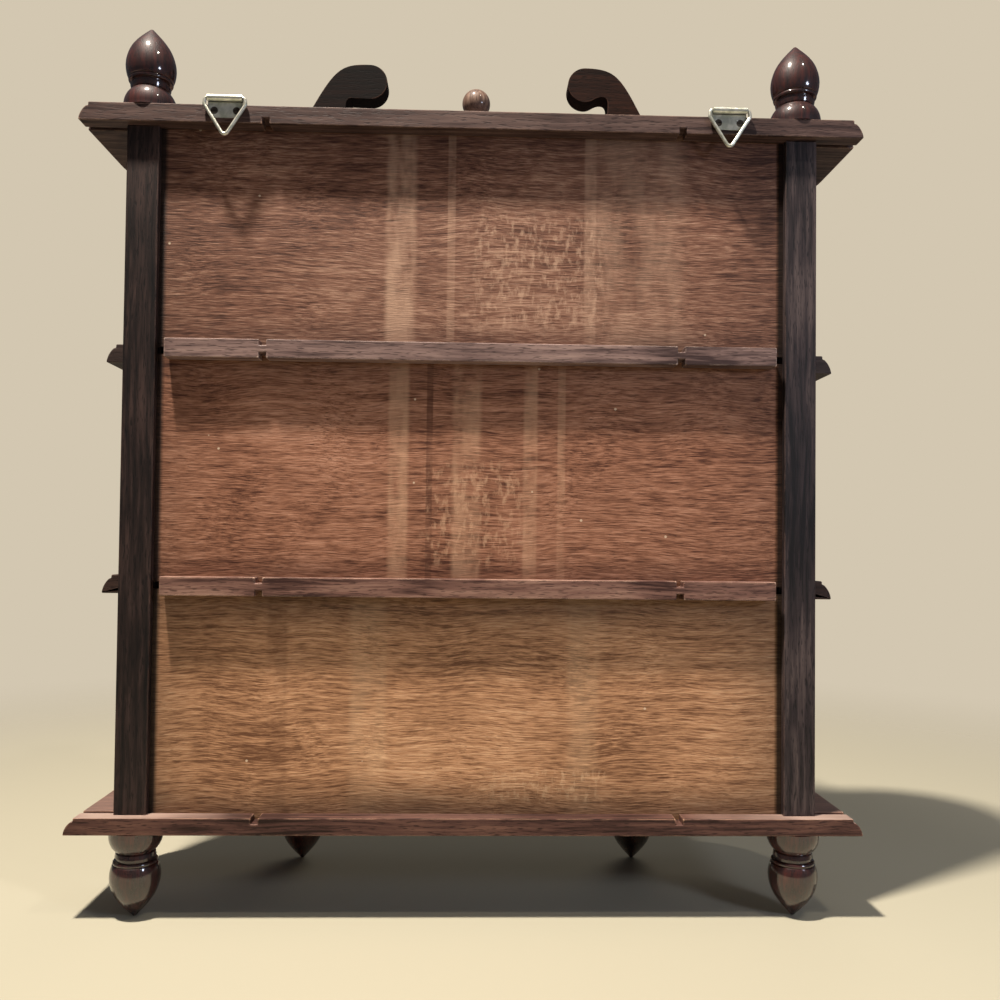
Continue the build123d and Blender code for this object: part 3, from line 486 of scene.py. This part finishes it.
# Shelves
# Two thinner boards of the same wood. Each has a plain strip that shows between the posts, and wings with the
# same moulding that come forward beside the front stiles. Both faces are grooved for glass and panels.
shelf_corner = 45 * mm
post_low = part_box("rear_post_right")[0]
post_inner, post_front = post_low.x, post_low.y
strip_half = post_inner - 5.5 * mm
shelf_colours = {
    "lower_shelf": ("#3a2420", "#7a594e", "#9b7969", "#e6c3ab"),
    "upper_shelf": ("#3d2d2b", "#7d655f", "#9d8379", "#ead0c0"),
}
for name, colours in shelf_colours.items():
    wood = stained_mahogany("stained_mahogany_" + name, "X", *colours, dark_ends=0.8)
    low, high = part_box(name)
    wings_high = Vector((high.x, post_front, high.z))
    shelf = moulded_board("moulded_" + name, low, wings_high, shelf_corner)
    saw(shelf, (-stile_high.x, low.y - mm, low.z - mm), (stile_high.x, stile_high.y, high.z + mm))
    strip = cube("strip", (-strip_half, post_front - 0.2 * mm, low.z), (strip_half, high.y, high.z))
    only(shelf)
    joint = shelf.modifiers.new("joint", "BOOLEAN")
    joint.operation = "UNION"
    joint.solver = "EXACT"
    joint.object = strip
    bpy.ops.object.modifier_apply(modifier="joint")
    bpy.data.objects.remove(strip)
    saw_grooves(shelf, low.z - mm, low.z + groove_depth, high.y)
    saw_grooves(shelf, high.z - groove_depth, high.z + mm, high.y)
    ease(shelf, 0.6 * mm)
    finish(shelf, wood, "cabinet", "case_wood", name)


# Rear posts
# Two square mahogany posts, planed and stained nearly black, glued between the base and the top. Each has a
# groove down its inner side for the panels, and its inner arris is rubbed down to reddish wood.
# Painted light and shade: the post at -X gets lighter tones than the post at +X, since a lamp at the -X side
# lights it. The front stiles take the darker tones.
lit_and_shaded_post_colours = {
    "left": ("#131011", "#32292a", "#534745", "#8a6c62"),
    "right": ("#0c0809", "#241a18", "#41312d", "#7a5748"),
}
lit_and_shaded_post_woods = {}
for side, sign in (("left", -1), ("right", 1)):
    name = "rear_post_" + side
    wood_name = "stained_mahogany_post_" + side
    lit_and_shaded_post_woods[side] = stained_mahogany(wood_name, "Z", *lit_and_shaded_post_colours[side], wear=0.8)
    low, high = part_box(name)
    post = cube("planed_post_" + side, low, high)
    groove_x = sorted((sign * (post_inner - mm), sign * (post_inner + groove_depth)))
    saw(
        post,
        (groove_x[0], panel_low.y - panel_play, low.z - mm),
        (groove_x[1], panel_high.y + panel_play, high.z + mm),
    )
    ease(post, 0.5 * mm, segments=3)
    finish(post, lit_and_shaded_post_woods[side], "cabinet", "post_wood", name)


# Turned feet and finials
# Six acorns turned from one pattern in mahogany, stained dark red and polished on the lathe, so that they
# mirror the lamps. The feet stand on their tips and the finials point up.
turned_colours = ("#170404", "#2d0d09", "#451811", "#8a5443")
turned_wood = stained_mahogany("polished_turned_mahogany", "Z", *turned_colours, wear=0.0)
turned_shader = turned_wood.node_tree.nodes["Principled BSDF"]
turned_shader.inputs["Coat Weight"].default_value = 1.0
turned_shader.inputs["Coat Roughness"].default_value = 0.1
turned_shader.inputs["Coat IOR"].default_value = 1.7
# Radius and height of the acorn from its tip: swelling, lip, bead, quirk, ring, waist and cushion.
acorn_profile = [
    (0.8, 0.0), (1.5, 0.7), (2.35, 1.6), (3.0, 2.3), (3.7, 3.0), (5.1, 4.5), (6.5, 6.1), (7.8, 7.7),
    (9.0, 9.4), (9.8, 10.7), (10.6, 12.3), (11.3, 14.1), (11.9, 16.1), (12.3, 18.1), (12.45, 20.4),
    (12.3, 22.4), (11.95, 24.3), (11.6, 25.5), (11.2, 26.4), (10.7, 26.7), (10.95, 27.1), (11.05, 27.55),
    (10.95, 28.0), (10.7, 28.4), (9.3, 28.7), (9.3, 30.1), (10.0, 30.4), (9.87, 31.1), (9.6, 32.3),
    (9.1, 32.7), (9.6, 33.1), (10.6, 34.1), (11.6, 35.5), (12.3, 36.9), (12.75, 38.2), (13.0, 39.4),
    (13.12, 40.6), (13.1, 41.7), (13.0, 42.6), (13.0, 43.6),
]


def turn_on_lathe(name, profile, segments=64):
    """A closed turned piece that stands on the origin; its profile is radius and height in millimetres."""
    bpy.ops.object.select_all(action="DESELECT")
    bpy.ops.mesh.primitive_circle_add(vertices=segments, radius=profile[0][0] * mm, fill_type="NGON")
    piece = bpy.context.object
    piece.name = name
    bpy.ops.object.mode_set(mode="EDIT")
    bpy.ops.mesh.select_mode(type="FACE")
    bpy.ops.mesh.select_all(action="SELECT")
    for (radius, height), (next_radius, next_height) in zip(profile, profile[1:]):
        rise = (next_height - height) * mm
        bpy.ops.mesh.extrude_region_move(TRANSFORM_OT_translate={"value": (0, 0, rise)})
        wider = next_radius / radius
        bpy.ops.transform.resize(value=(wider, wider, 1), center_override=(0, 0, next_height * mm))
    bpy.ops.object.mode_set(mode="OBJECT")
    return piece


feet = [f"foot_{place}_{side}" for place in ("rear", "front") for side in ("left", "right")]
for name in feet + ["finial_left", "finial_right"]:
    low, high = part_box(name)
    acorn = turn_on_lathe("turned_" + name, acorn_profile)
    acorn.location = ((low.x + high.x) / 2, (low.y + high.y) / 2, 0)
    if name.startswith("finial"):
        acorn.location.z = high.z
        acorn.rotation_euler.x = math.pi
    finish(acorn, turned_wood, "cabinet", "turned_wood", name)


# Ball finial
# A ball on a short neck and a ringed foot, turned in the same wood from one piece. Its stain has faded to a
# pale brown, and the polish is half gone, so that it shines less than the acorns.
ball_profile = [
    (6.5, 0.0), (7.1, 0.4), (7.5, 1.5), (7.1, 2.6), (6.5, 3.0), (5.3, 4.4), (4.2, 6.2), (3.5, 8.2),
    (3.2, 10.8),
]
ball_radius, ball_height, neck_radius = 8.6, 21.4, 3.2
ball_steps = 18
first_angle = math.asin(neck_radius / ball_radius)
last_angle = math.radians(177)
for step in range(ball_steps + 1):
    angle = first_angle + (last_angle - first_angle) * step / ball_steps
    ball_profile.append((ball_radius * math.sin(angle), ball_height - ball_radius * math.cos(angle)))
low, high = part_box("ball_finial")
ball_colours = ("#3b2820", "#6d5649", "#8f7868", "#a08070")
ball_wood = stained_mahogany("polished_turned_mahogany_ball", "Z", *ball_colours, wear=0.0)
ball_shader = ball_wood.node_tree.nodes["Principled BSDF"]
ball_shader.inputs["Coat Weight"].default_value = 0.6
ball_shader.inputs["Coat Roughness"].default_value = 0.12
ball = turn_on_lathe("turned_ball_finial", ball_profile)
ball.location = ((low.x + high.x) / 2, (low.y + high.y) / 2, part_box("pediment_plinth")[1].z)
finish(ball, ball_wood, "cabinet", "turned_wood", "ball_finial")


def worked_copy(node, name, width):
    """A copy of a piece of the frame with its faces joined up and its arrises eased."""
    piece = nodes[node].copy()
    piece.data = nodes[node].data.copy()
    piece.name = name
    for key in list(piece.keys()):
        del piece[key]
    piece.parent = None
    bpy.context.scene.collection.objects.link(piece)
    only(piece)
    bpy.ops.object.mode_set(mode="EDIT")
    bpy.ops.mesh.select_all(action="SELECT")
    bpy.ops.mesh.remove_doubles(threshold=0.000002)
    bpy.ops.mesh.dissolve_limited(angle_limit=math.radians(0.5))
    bpy.ops.object.mode_set(mode="OBJECT")
    if width:
        ease(piece, width)
    return piece


# Painted light and shade: the scroll at -X gets lighter tones than the scroll at +X, since a lamp at the -X
# side lights it. The plinth takes the darker tones.
lit_and_shaded_scroll_colours = {
    "pediment_scroll_left": ("#080301", "#190a05", "#2e180f"),
    "pediment_scroll_right": ("#040100", "#0e0503", "#1b0c07"),
}
lit_and_shaded_scroll_woods = {}
for name, colours in lit_and_shaded_scroll_colours.items():
    wood_name = "stained_mahogany_" + name
    wood = stained_mahogany(wood_name, "X", *colours, "#6a4a3c", gloss=0.72, wear=0.6)
    wood.node_tree.nodes["Principled BSDF"].inputs["Specular IOR Level"].default_value = 0.1
    lit_and_shaded_scroll_woods[name] = wood
    scroll = worked_copy(name, "fretted_" + name, 0.25 * mm)
    finish(scroll, wood, "cabinet", "case_wood", name)
plinth = worked_copy("pediment_plinth", "capped_pediment_plinth", 0.3 * mm)
plinth_wood = lit_and_shaded_scroll_woods["pediment_scroll_right"]
finish(plinth, plinth_wood, "cabinet", "case_wood", "pediment_plinth")


# Back panels
# Three sheets of thin plywood, thinly stained and left matt, in grooves between the posts and the shelves.
# The stain is faded and wiped thin in upright streaks, rosier at the top and golden at the bottom. The edges
# are darker, with dirt and painted shade from the posts and shelves, and a strip of painted shadow lies
# beside each post.
def streak(tree, across, middle, half_width):
    """An upright band: 1 in its middle, 0 beyond its half width, in metres across the panel."""
    offset = add(tree, "ShaderNodeMath", {"operation": "SUBTRACT", 1: middle}, in0=across)
    distance = add(tree, "ShaderNodeMath", {"operation": "ABSOLUTE"}, in0=offset.outputs[0])
    return add(
        tree,
        "ShaderNodeMapRange",
        {"interpolation_type": "SMOOTHSTEP", "From Min": half_width * 1.25, "From Max": half_width * 0.75},
        Value=distance.outputs[0],
    )


def faded_plywood(name, node, deep, middle, light, pale, streaks, flecked, edge_darkness, margin):
    """Plywood in three tones of stain over pale wood, with wiped streaks, a flecked place, edges darkened by
    dirt and painted shade, and a painted post shadow.
    """
    material, tree, shader = new_material(name)
    place = add(tree, "ShaderNodeTexCoord")
    along = add(tree, "ShaderNodeSeparateXYZ", None, Vector=place.outputs["Object"])
    figure = wood_grain(tree, "X", 80, 2.6, sway=8.0)
    # Real fibres are too fine to show, so they are drawn as torn bundles 0.6 mm wide.
    fibres = wood_grain(tree, "X", 9, 0.6, sway=8.0)
    # The stain has faded in patches about 90 mm across.
    settings = {"Scale": 1 / (90.91 * mm), "Detail": 4.0}
    patches = add(tree, "ShaderNodeTexNoise", settings, Vector=place.outputs["Object"])
    figure_part = add(tree, "ShaderNodeMath", {"operation": "MULTIPLY", 1: 0.26}, in0=figure.outputs["Fac"])
    fibre_part = add(
        tree,
        "ShaderNodeMath",
        {"operation": "MULTIPLY_ADD", 1: 0.46},
        in0=fibres.outputs["Fac"],
        in2=figure_part.outputs[0],
    )
    tone = add(
        tree,
        "ShaderNodeMath",
        {"operation": "MULTIPLY_ADD", 1: 0.28},
        in0=patches.outputs["Fac"],
        in2=fibre_part.outputs[0],
    )
    stain = add(tree, "ShaderNodeValToRGB", None, Fac=tone.outputs[0])
    ramp = stain.color_ramp
    ramp.elements[0].position, ramp.elements[0].color = 0.39, linear(deep)
    ramp.elements[1].position, ramp.elements[1].color = 0.62, linear(light)
    ramp.elements.new(0.5).color = linear(middle)
    cracks = wood_grain(tree, "X", 12, 0.5, sway=14.0, detail=2.0)
    crack_mask = add(
        tree,
        "ShaderNodeMapRange",
        {"From Min": 0.58, "From Max": 0.68, "To Max": 0.7},
        Value=cracks.outputs["Fac"],
    )
    colour = add(
        tree,
        "ShaderNodeMix",
        {"data_type": "RGBA", 7: linear(deep)},
        in0=crack_mask.outputs[0],
        in6=stain.outputs["Color"],
    )
    wiped = wood_grain(tree, "Z", 30, 12)
    for streak_middle, half_width, strength in streaks:
        band = streak(tree, along.outputs["X"], streak_middle * mm, half_width * mm)
        uneven = add(
            tree,
            "ShaderNodeMapRange",
            {"From Min": 0.30, "From Max": 0.60, "To Max": abs(strength)},
            Value=wiped.outputs["Fac"],
        )
        times = {"in0": band.outputs[0], "in1": uneven.outputs[0]}
        amount = add(tree, "ShaderNodeMath", {"operation": "MULTIPLY"}, **times)
        colour = add(
            tree,
            "ShaderNodeMix",
            {"data_type": "RGBA", 7: linear(pale if strength > 0 else deep)},
            in0=amount.outputs[0],
            in6=colour.outputs[2],
        )
    fleck_x, fleck_z, fleck_half_x, fleck_half_z = flecked
    flecks = wood_grain(tree, "Z", 5.8, 3.0, sway=4.0, detail=4.0)
    fleck_mask = add(
        tree,
        "ShaderNodeMapRange",
        {"From Min": 0.50, "From Max": 0.68, "To Max": 0.55},
        Value=flecks.outputs["Fac"],
    )
    fleck_across = streak(tree, along.outputs["X"], fleck_x * mm, fleck_half_x * mm)
    fleck_up = streak(tree, along.outputs["Z"], fleck_z * mm, fleck_half_z * mm)
    times = {"in0": fleck_across.outputs[0], "in1": fleck_up.outputs[0]}
    fleck_field = add(tree, "ShaderNodeMath", {"operation": "MULTIPLY"}, **times)
    times = {"in0": fleck_field.outputs[0], "in1": fleck_mask.outputs[0]}
    fleck_amount = add(tree, "ShaderNodeMath", {"operation": "MULTIPLY"}, **times)
    colour = add(
        tree,
        "ShaderNodeMix",
        {"data_type": "RGBA", 7: linear(pale)},
        in0=fleck_amount.outputs[0],
        in6=colour.outputs[2],
    )
    # A few pale specks, about 1 mm wide and 24 mm apart.
    specks = add(tree, "ShaderNodeTexVoronoi", {"Scale": 1 / (23.81 * mm)}, Vector=place.outputs["Object"])
    speck_mask = add(
        tree,
        "ShaderNodeMapRange",
        {"From Min": 0.032, "From Max": 0.022, "To Max": 0.8},
        Value=specks.outputs["Distance"],
    )
    colour = add(
        tree,
        "ShaderNodeMix",
        {"data_type": "RGBA", 7: linear("#d9c3a8")},
        in0=speck_mask.outputs[0],
        in6=colour.outputs[2],
    )
    low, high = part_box(node)
    # Dirt and painted shade: the panel is darker towards its edges, where the posts and shelves shade it.
    half_wide, half_high = (high.x - low.x) / 2, (high.z - low.z) / 2
    inside = streak(tree, along.outputs["X"], 0, half_wide - margin * mm)
    inside_up = streak(tree, along.outputs["Z"], (low.z + high.z) / 2, half_high - margin * mm)
    times = {"in0": inside.outputs[0], "in1": inside_up.outputs[0]}
    undarkened = add(tree, "ShaderNodeMath", {"operation": "MULTIPLY"}, **times)
    edge_dirt_and_painted_shade = add(tree, "ShaderNodeMapRange", {"To Min": edge_darkness, "To Max": 0.0}, Value=undarkened.outputs[0])
    times = {"in0": edge_dirt_and_painted_shade.outputs[0], "in1": patches.outputs["Fac"]}
    uneven_edge_dirt_and_painted_shade = add(tree, "ShaderNodeMath", {"operation": "MULTIPLY"}, **times)
    colour = add(
        tree,
        "ShaderNodeMix",
        {"data_type": "RGBA", 7: linear("#241812")},
        in0=uneven_edge_dirt_and_painted_shade.outputs[0],
        in6=colour.outputs[2],
    )
    # Painted shadow: a near-black strip beside each post, where the post shades the panel.
    across = add(tree, "ShaderNodeMath", {"operation": "ABSOLUTE"}, in0=along.outputs["X"])
    corner = add(
        tree,
        "ShaderNodeMapRange",
        {"From Min": 157.2 * mm, "From Max": 159.2 * mm, "To Max": 0.9},
        Value=across.outputs[0],
    )
    colour = add(
        tree,
        "ShaderNodeMix",
        {"data_type": "RGBA", 7: linear("#0d0807")},
        in0=corner.outputs[0],
        in6=colour.outputs[2],
    )
    tree.links.new(colour.outputs[2], shader.inputs["Base Color"])
    shader.inputs["Roughness"].default_value = 0.6
    shader.inputs["Specular IOR Level"].default_value = 0.25
    relief = add(
        tree,
        "ShaderNodeBump",
        {"Strength": 0.5, "Distance": 0.4 * mm},
        Height=fibres.outputs["Fac"],
    )
    tree.links.new(relief.outputs["Normal"], shader.inputs["Normal"])
    return material


def finish_nodes(material, *names):
    """Gives pieces of the frame, whose shape is right, their material."""
    for name in names:
        nodes[name].data.materials.clear()
        nodes[name].data.materials.append(material)


# For each bay: deep, middle, light and bare tones; streaks as middle, half width in millimetres and strength,
# dark below 0; the flecked place as middle x and z and half sizes; how dark the edges are made, by dirt and
# painted shade, and how far in.
panel_finishes = {
    "upper": (
        ("#42271d", "#7c5543", "#ad8770", "#c9a58a"),
        [(38, 7.5, 0.55), (-84, 24, 0.25), (-60, 3, 0.3), (12, 2, 0.3)],
        (-33, 330, 34, 30),
        0.9,
        9,
    ),
    "middle": (
        ("#4a281b", "#93644c", "#bd8c72", "#cba282"),
        [(38, 5.0, 0.5), (22, 1.6, -0.7), (3, 7.0, 0.45), (-30, 3.5, 0.4), (-46, 2.0, 0.3)],
        (-2, 205, 26, 26),
        0.9,
        9,
    ),
    "lower": (
        ("#6b4730", "#b78864", "#dcb08a", "#e3bf98"),
        [(52, 9.0, 0.2), (-58, 8.0, 0.2), (98, 5.0, -0.35)],
        (-40, 66, 30, 8),
        1.2,
        15,
    ),
}
for bay, (colours, *marks) in panel_finishes.items():
    name = "back_panel_" + bay
    finish_nodes(faded_plywood("faded_plywood_" + bay, name, *colours, *marks), name)


# Front stiles
# Two mahogany stiles with flutes down their faces, stained as dark as the posts. They stand between the base
# and the top, are screwed from above, and carry the side glass in a groove at their back and the door's
# hinges.
sides = ("left", "right")
for side in sides:
    name = "front_stile_" + side
    stile = worked_copy(name, "fluted_" + name, 0.3 * mm)
    finish(stile, lit_and_shaded_post_woods["right"], "cabinet", "post_wood", name)


# Door
# A frame of two stiles and two rails in mahogany, redder than the posts, joined and glued, with the arrises
# rubbed by opening and shutting. Thin beads of the same wood hold its glass.
door_colours = ("#26150f", "#4a2b20", "#67402f", "#b08468")
door_wood = stained_mahogany("stained_mahogany_door", "Z", *door_colours, wear=0.6)
rail_wood = stained_mahogany("stained_mahogany_rails", "X", *door_colours, wear=0.6)
for name, wood in (
    ("door_stile_hinge_side", door_wood),
    ("door_stile_knob_side", door_wood),
    ("door_rail_top", rail_wood),
    ("door_rail_bottom", rail_wood),
):
    member = worked_copy(name, "framed_" + name, 0.25 * mm)
    finish(member, wood, "door", "door_wood", name)
finish_nodes(door_wood, "glazing_beads")


# Hinges, knob and screws
# Brass butt hinges, stamped and bent round their pins, a turned brass knob, and screws of brass and of steel.
# All are dulled by handling, so that they shine in patches, and their corners are darkened by dirt and
# painted shade.
def old_metal(name, undarkened, dull, dirt_and_shade, roughness):
    """Metal whose shine and colour vary in patches about 4 mm across, darkened in its corners by dirt and
    painted shade.
    """
    material, tree, shader = new_material(name)
    place = add(tree, "ShaderNodeTexCoord")
    settings = {"Scale": 1 / (3.846 * mm), "Detail": 3.0}
    patches = add(tree, "ShaderNodeTexNoise", settings, Vector=place.outputs["Object"])
    patch_mask = add(
        tree, "ShaderNodeMapRange", {"From Min": 0.4, "From Max": 0.62}, Value=patches.outputs["Fac"]
    )
    colour = add(
        tree,
        "ShaderNodeMix",
        {"data_type": "RGBA", 6: linear(undarkened), 7: linear(dull)},
        in0=patch_mask.outputs[0],
    )
    # Dirt and painted shade: occlusion darkens the corners and hollows, where dirt settles and shade falls.
    corner = add(tree, "ShaderNodeAmbientOcclusion", {"samples": 6, "Distance": 1.2 * mm})
    corner_dirt_and_painted_shade_mask = add(
        tree, "ShaderNodeMapRange", {"From Min": 0.75, "From Max": 0.35}, Value=corner.outputs["AO"]
    )
    dirtied_and_shaded = add(
        tree,
        "ShaderNodeMix",
        {"data_type": "RGBA", 7: linear(dirt_and_shade)},
        in0=corner_dirt_and_painted_shade_mask.outputs[0],
        in6=colour.outputs[2],
    )
    tree.links.new(dirtied_and_shaded.outputs[2], shader.inputs["Base Color"])
    shader.inputs["Metallic"].default_value = 1.0
    sheen = add(
        tree,
        "ShaderNodeMapRange",
        {"To Min": roughness - 0.08, "To Max": roughness + 0.16},
        Value=patches.outputs["Fac"],
    )
    tree.links.new(sheen.outputs[0], shader.inputs["Roughness"])
    # Real scratches are a few hundredths of a millimetre wide, so they are drawn ten times as wide.
    scratches = add(
        tree,
        "ShaderNodeTexNoise",
        {"Scale": 1 / (0.4545 * mm), "Detail": 1.0, "Distortion": 2.0},
        Vector=place.outputs["Object"],
    )
    relief = add(
        tree, "ShaderNodeBump", {"Strength": 0.12, "Distance": 0.05 * mm}, Height=scratches.outputs["Fac"]
    )
    tree.links.new(relief.outputs["Normal"], shader.inputs["Normal"])
    return material


steel = old_metal("dull_steel", "#6d6458", "#4a4038", "#17110d", 0.42)
brass = old_metal("tarnished_brass", "#c39a52", "#8c6c38", "#2b1d0d", 0.34)
steel_screws = ("hanger_screws", "catch_screws", "strike_screw", "top_board_screws", "door_knob_screw")
finish_nodes(steel, "shelf_pins", *steel_screws)
finish_nodes(brass, "hinge_screws_frame", "hinge_screws_door")
for level in ("lower", "upper"):
    for part, body in (("frame_leaf", "cabinet"), ("door_leaf", "door"), ("pin", "cabinet")):
        name = f"hinge_{level}_{part}"
        finish(worked_copy(name, "stamped_" + name, 0.0), brass, body, "hinge_brass", name)
knob = worked_copy("door_knob", "turned_door_knob", 0.0)
finish(knob, brass, "door", "hinge_brass", "door_knob")


# Ring hangers
# Each is a strip of nickel-plated steel whose top is rolled round the wire of a triangular ring; the strip is
# screwed flat against the top board's edge. The ring hangs down and shines all along its wire.
nickel = old_metal("nickel_plated_steel", "#e4e3d6", "#bfc1b0", "#3a3129", 0.3)
nickel.node_tree.nodes["Principled BSDF"].inputs["Metallic"].default_value = 0.65
finish_nodes(nickel, "strike_plate")
wire_radius = 0.9 * mm
eye_radius = 1.3 * mm
eye_turn = math.radians(325)
sheet = 0.6 * mm
eye_reach = eye_radius + sheet / 2
plate_top = 411 * mm
plate_corner = 4.0 * mm
screw_spacing = 5.6 * mm
screw_height = 406.8 * mm
screw_hole = 1.85 * mm
for side in sides:
    low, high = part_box("hanger_strap_" + side)
    middle_x = (low.x + high.x) / 2
    eye_y, eye_z = high.y - eye_reach, high.z - eye_reach
    plate_y = low.y + sheet / 2
    bpy.ops.object.select_all(action="DESELECT")
    bpy.ops.mesh.primitive_plane_add(size=1, location=(middle_x, plate_y, (low.z + plate_top) / 2))
    strap = bpy.context.object
    strap.name = "rolled_hanger_strap_" + side
    strap.rotation_euler.x = math.pi / 2
    strap.scale = (high.x - low.x, plate_top - low.z, 1)
    bpy.ops.object.transform_apply(location=True, rotation=True, scale=True)
    bpy.ops.object.mode_set(mode="EDIT")
    choose(strap, "VERT", lambda middle, part: middle.z < low.z + mm)
    bpy.ops.mesh.bevel(offset=plate_corner, offset_type="OFFSET", segments=8, affect="VERTICES")
    choose(strap, "EDGE", lambda middle, part: middle.z > plate_top - 0.1 * mm)
    to_eye = (0, eye_y - eye_radius - plate_y, eye_z - plate_top)
    bpy.ops.mesh.extrude_region_move(TRANSFORM_OT_translate={"value": to_eye})
    bpy.ops.mesh.spin(steps=28, angle=-eye_turn, center=(middle_x, eye_y, eye_z), axis=(1, 0, 0))
    bpy.ops.object.mode_set(mode="OBJECT")
    thick = strap.modifiers.new("sheet", "SOLIDIFY")
    thick.thickness = sheet
    thick.offset = 0
    bpy.ops.object.modifier_apply(modifier="sheet")
    for sign in (-1, 1):
        bpy.ops.object.select_all(action="DESELECT")
        bpy.ops.mesh.primitive_cylinder_add(
            vertices=32,
            radius=screw_hole,
            depth=4 * mm,
            location=(middle_x + sign * screw_spacing, plate_y, screw_height),
            rotation=(math.pi / 2, 0, 0),
        )
        cut_away(strap, bpy.context.object)
    ease(strap, 0.12 * mm)
    finish(strap, nickel, "cabinet", "nickel_steel", "hanger_strap_" + side)

    # The ring is a flat shape of five corners, then the wire that follows its outline.
    bpy.ops.object.select_all(action="DESELECT")
    bpy.ops.mesh.primitive_circle_add(vertices=5, radius=10 * mm, fill_type="NGON")
    ring = bpy.context.object
    ring.name = "bent_hanger_ring_" + side
    corners = [(-9.9, 0), (9.9, 0), (10.4, -3.4), (0, -19.8), (-10.4, -3.4)]
    for point, (x, z) in zip(ring.data.vertices, corners):
        point.co = (middle_x + x * mm, eye_y, eye_z + z * mm)
    bpy.ops.object.mode_set(mode="EDIT")
    # The ends of the bar, the two bends below them and the lowest bend are each rounded by their own amount.
    for test, offset in (
        (lambda middle, part: middle.z > eye_z - mm, 1.1 * mm),
        (lambda middle, part: eye_z - 4 * mm < middle.z < eye_z - 3 * mm, 0.8 * mm),
        (lambda middle, part: middle.z < eye_z - 19 * mm, 3.1 * mm),
    ):
        choose(ring, "VERT", test)
        bpy.ops.mesh.bevel(offset=offset, offset_type="OFFSET", segments=8, affect="VERTICES")
    bpy.ops.mesh.select_all(action="SELECT")
    bpy.ops.mesh.delete(type="ONLY_FACE")
    bpy.ops.object.mode_set(mode="OBJECT")
    bpy.ops.object.convert(target="CURVE")
    ring = bpy.context.object
    ring.data.bevel_depth = wire_radius
    ring.data.bevel_resolution = 5
    bpy.ops.object.convert(target="MESH")
    ring = bpy.context.object
    finish(ring, nickel, "ring_" + side, "nickel_steel", "hanger_ring_" + side, smooth_below=60)


# Glass and the catch
# Thin float glass in the sides and the door, a little dusty. The magnetic catch is a moulded brown plastic
# case with a grey ferrite magnet; the dowels that hold the pediment are pale beech.
glass, tree, shader = new_material("float_glass")
place = add(tree, "ShaderNodeTexCoord")
settings = {"Scale": 1 / (25 * mm), "Detail": 4.0}
dust = add(tree, "ShaderNodeTexNoise", settings, Vector=place.outputs["Object"])
dust_sheen = add(tree, "ShaderNodeMapRange", {"To Min": 0.0, "To Max": 0.06}, Value=dust.outputs["Fac"])
tree.links.new(dust_sheen.outputs[0], shader.inputs["Roughness"])
shader.inputs["Base Color"].default_value = linear("#eef8f3")
shader.inputs["Transmission Weight"].default_value = 1.0
shader.inputs["IOR"].default_value = 1.5
finish_nodes(glass, "door_glass", *(f"side_glass_{side}_{bay}" for side in sides for bay in panel_finishes))


def mottled(name, dark, pale, size, roughness):
    """A matt material in two close tones, mottled at a size in millimetres."""
    material, tree, shader = new_material(name)
    place = add(tree, "ShaderNodeTexCoord")
    settings = {"Scale": 1 / (size * mm), "Detail": 4.0}
    noise = add(tree, "ShaderNodeTexNoise", settings, Vector=place.outputs["Object"])
    colour = add(
        tree,
        "ShaderNodeMix",
        {"data_type": "RGBA", 6: linear(dark), 7: linear(pale)},
        in0=noise.outputs["Fac"],
    )
    tree.links.new(colour.outputs[2], shader.inputs["Base Color"])
    shader.inputs["Roughness"].default_value = roughness
    return material


finish_nodes(mottled("brown_moulded_plastic", "#33200f", "#4c3323", 4, 0.4), "catch_body")
finish_nodes(mottled("ferrite_magnet", "#232325", "#3b3b3e", 1, 0.6), "catch_magnet")
finish_nodes(mottled("beech_dowel", "#b48f61", "#d5b488", 2, 0.6), "pediment_dowels")
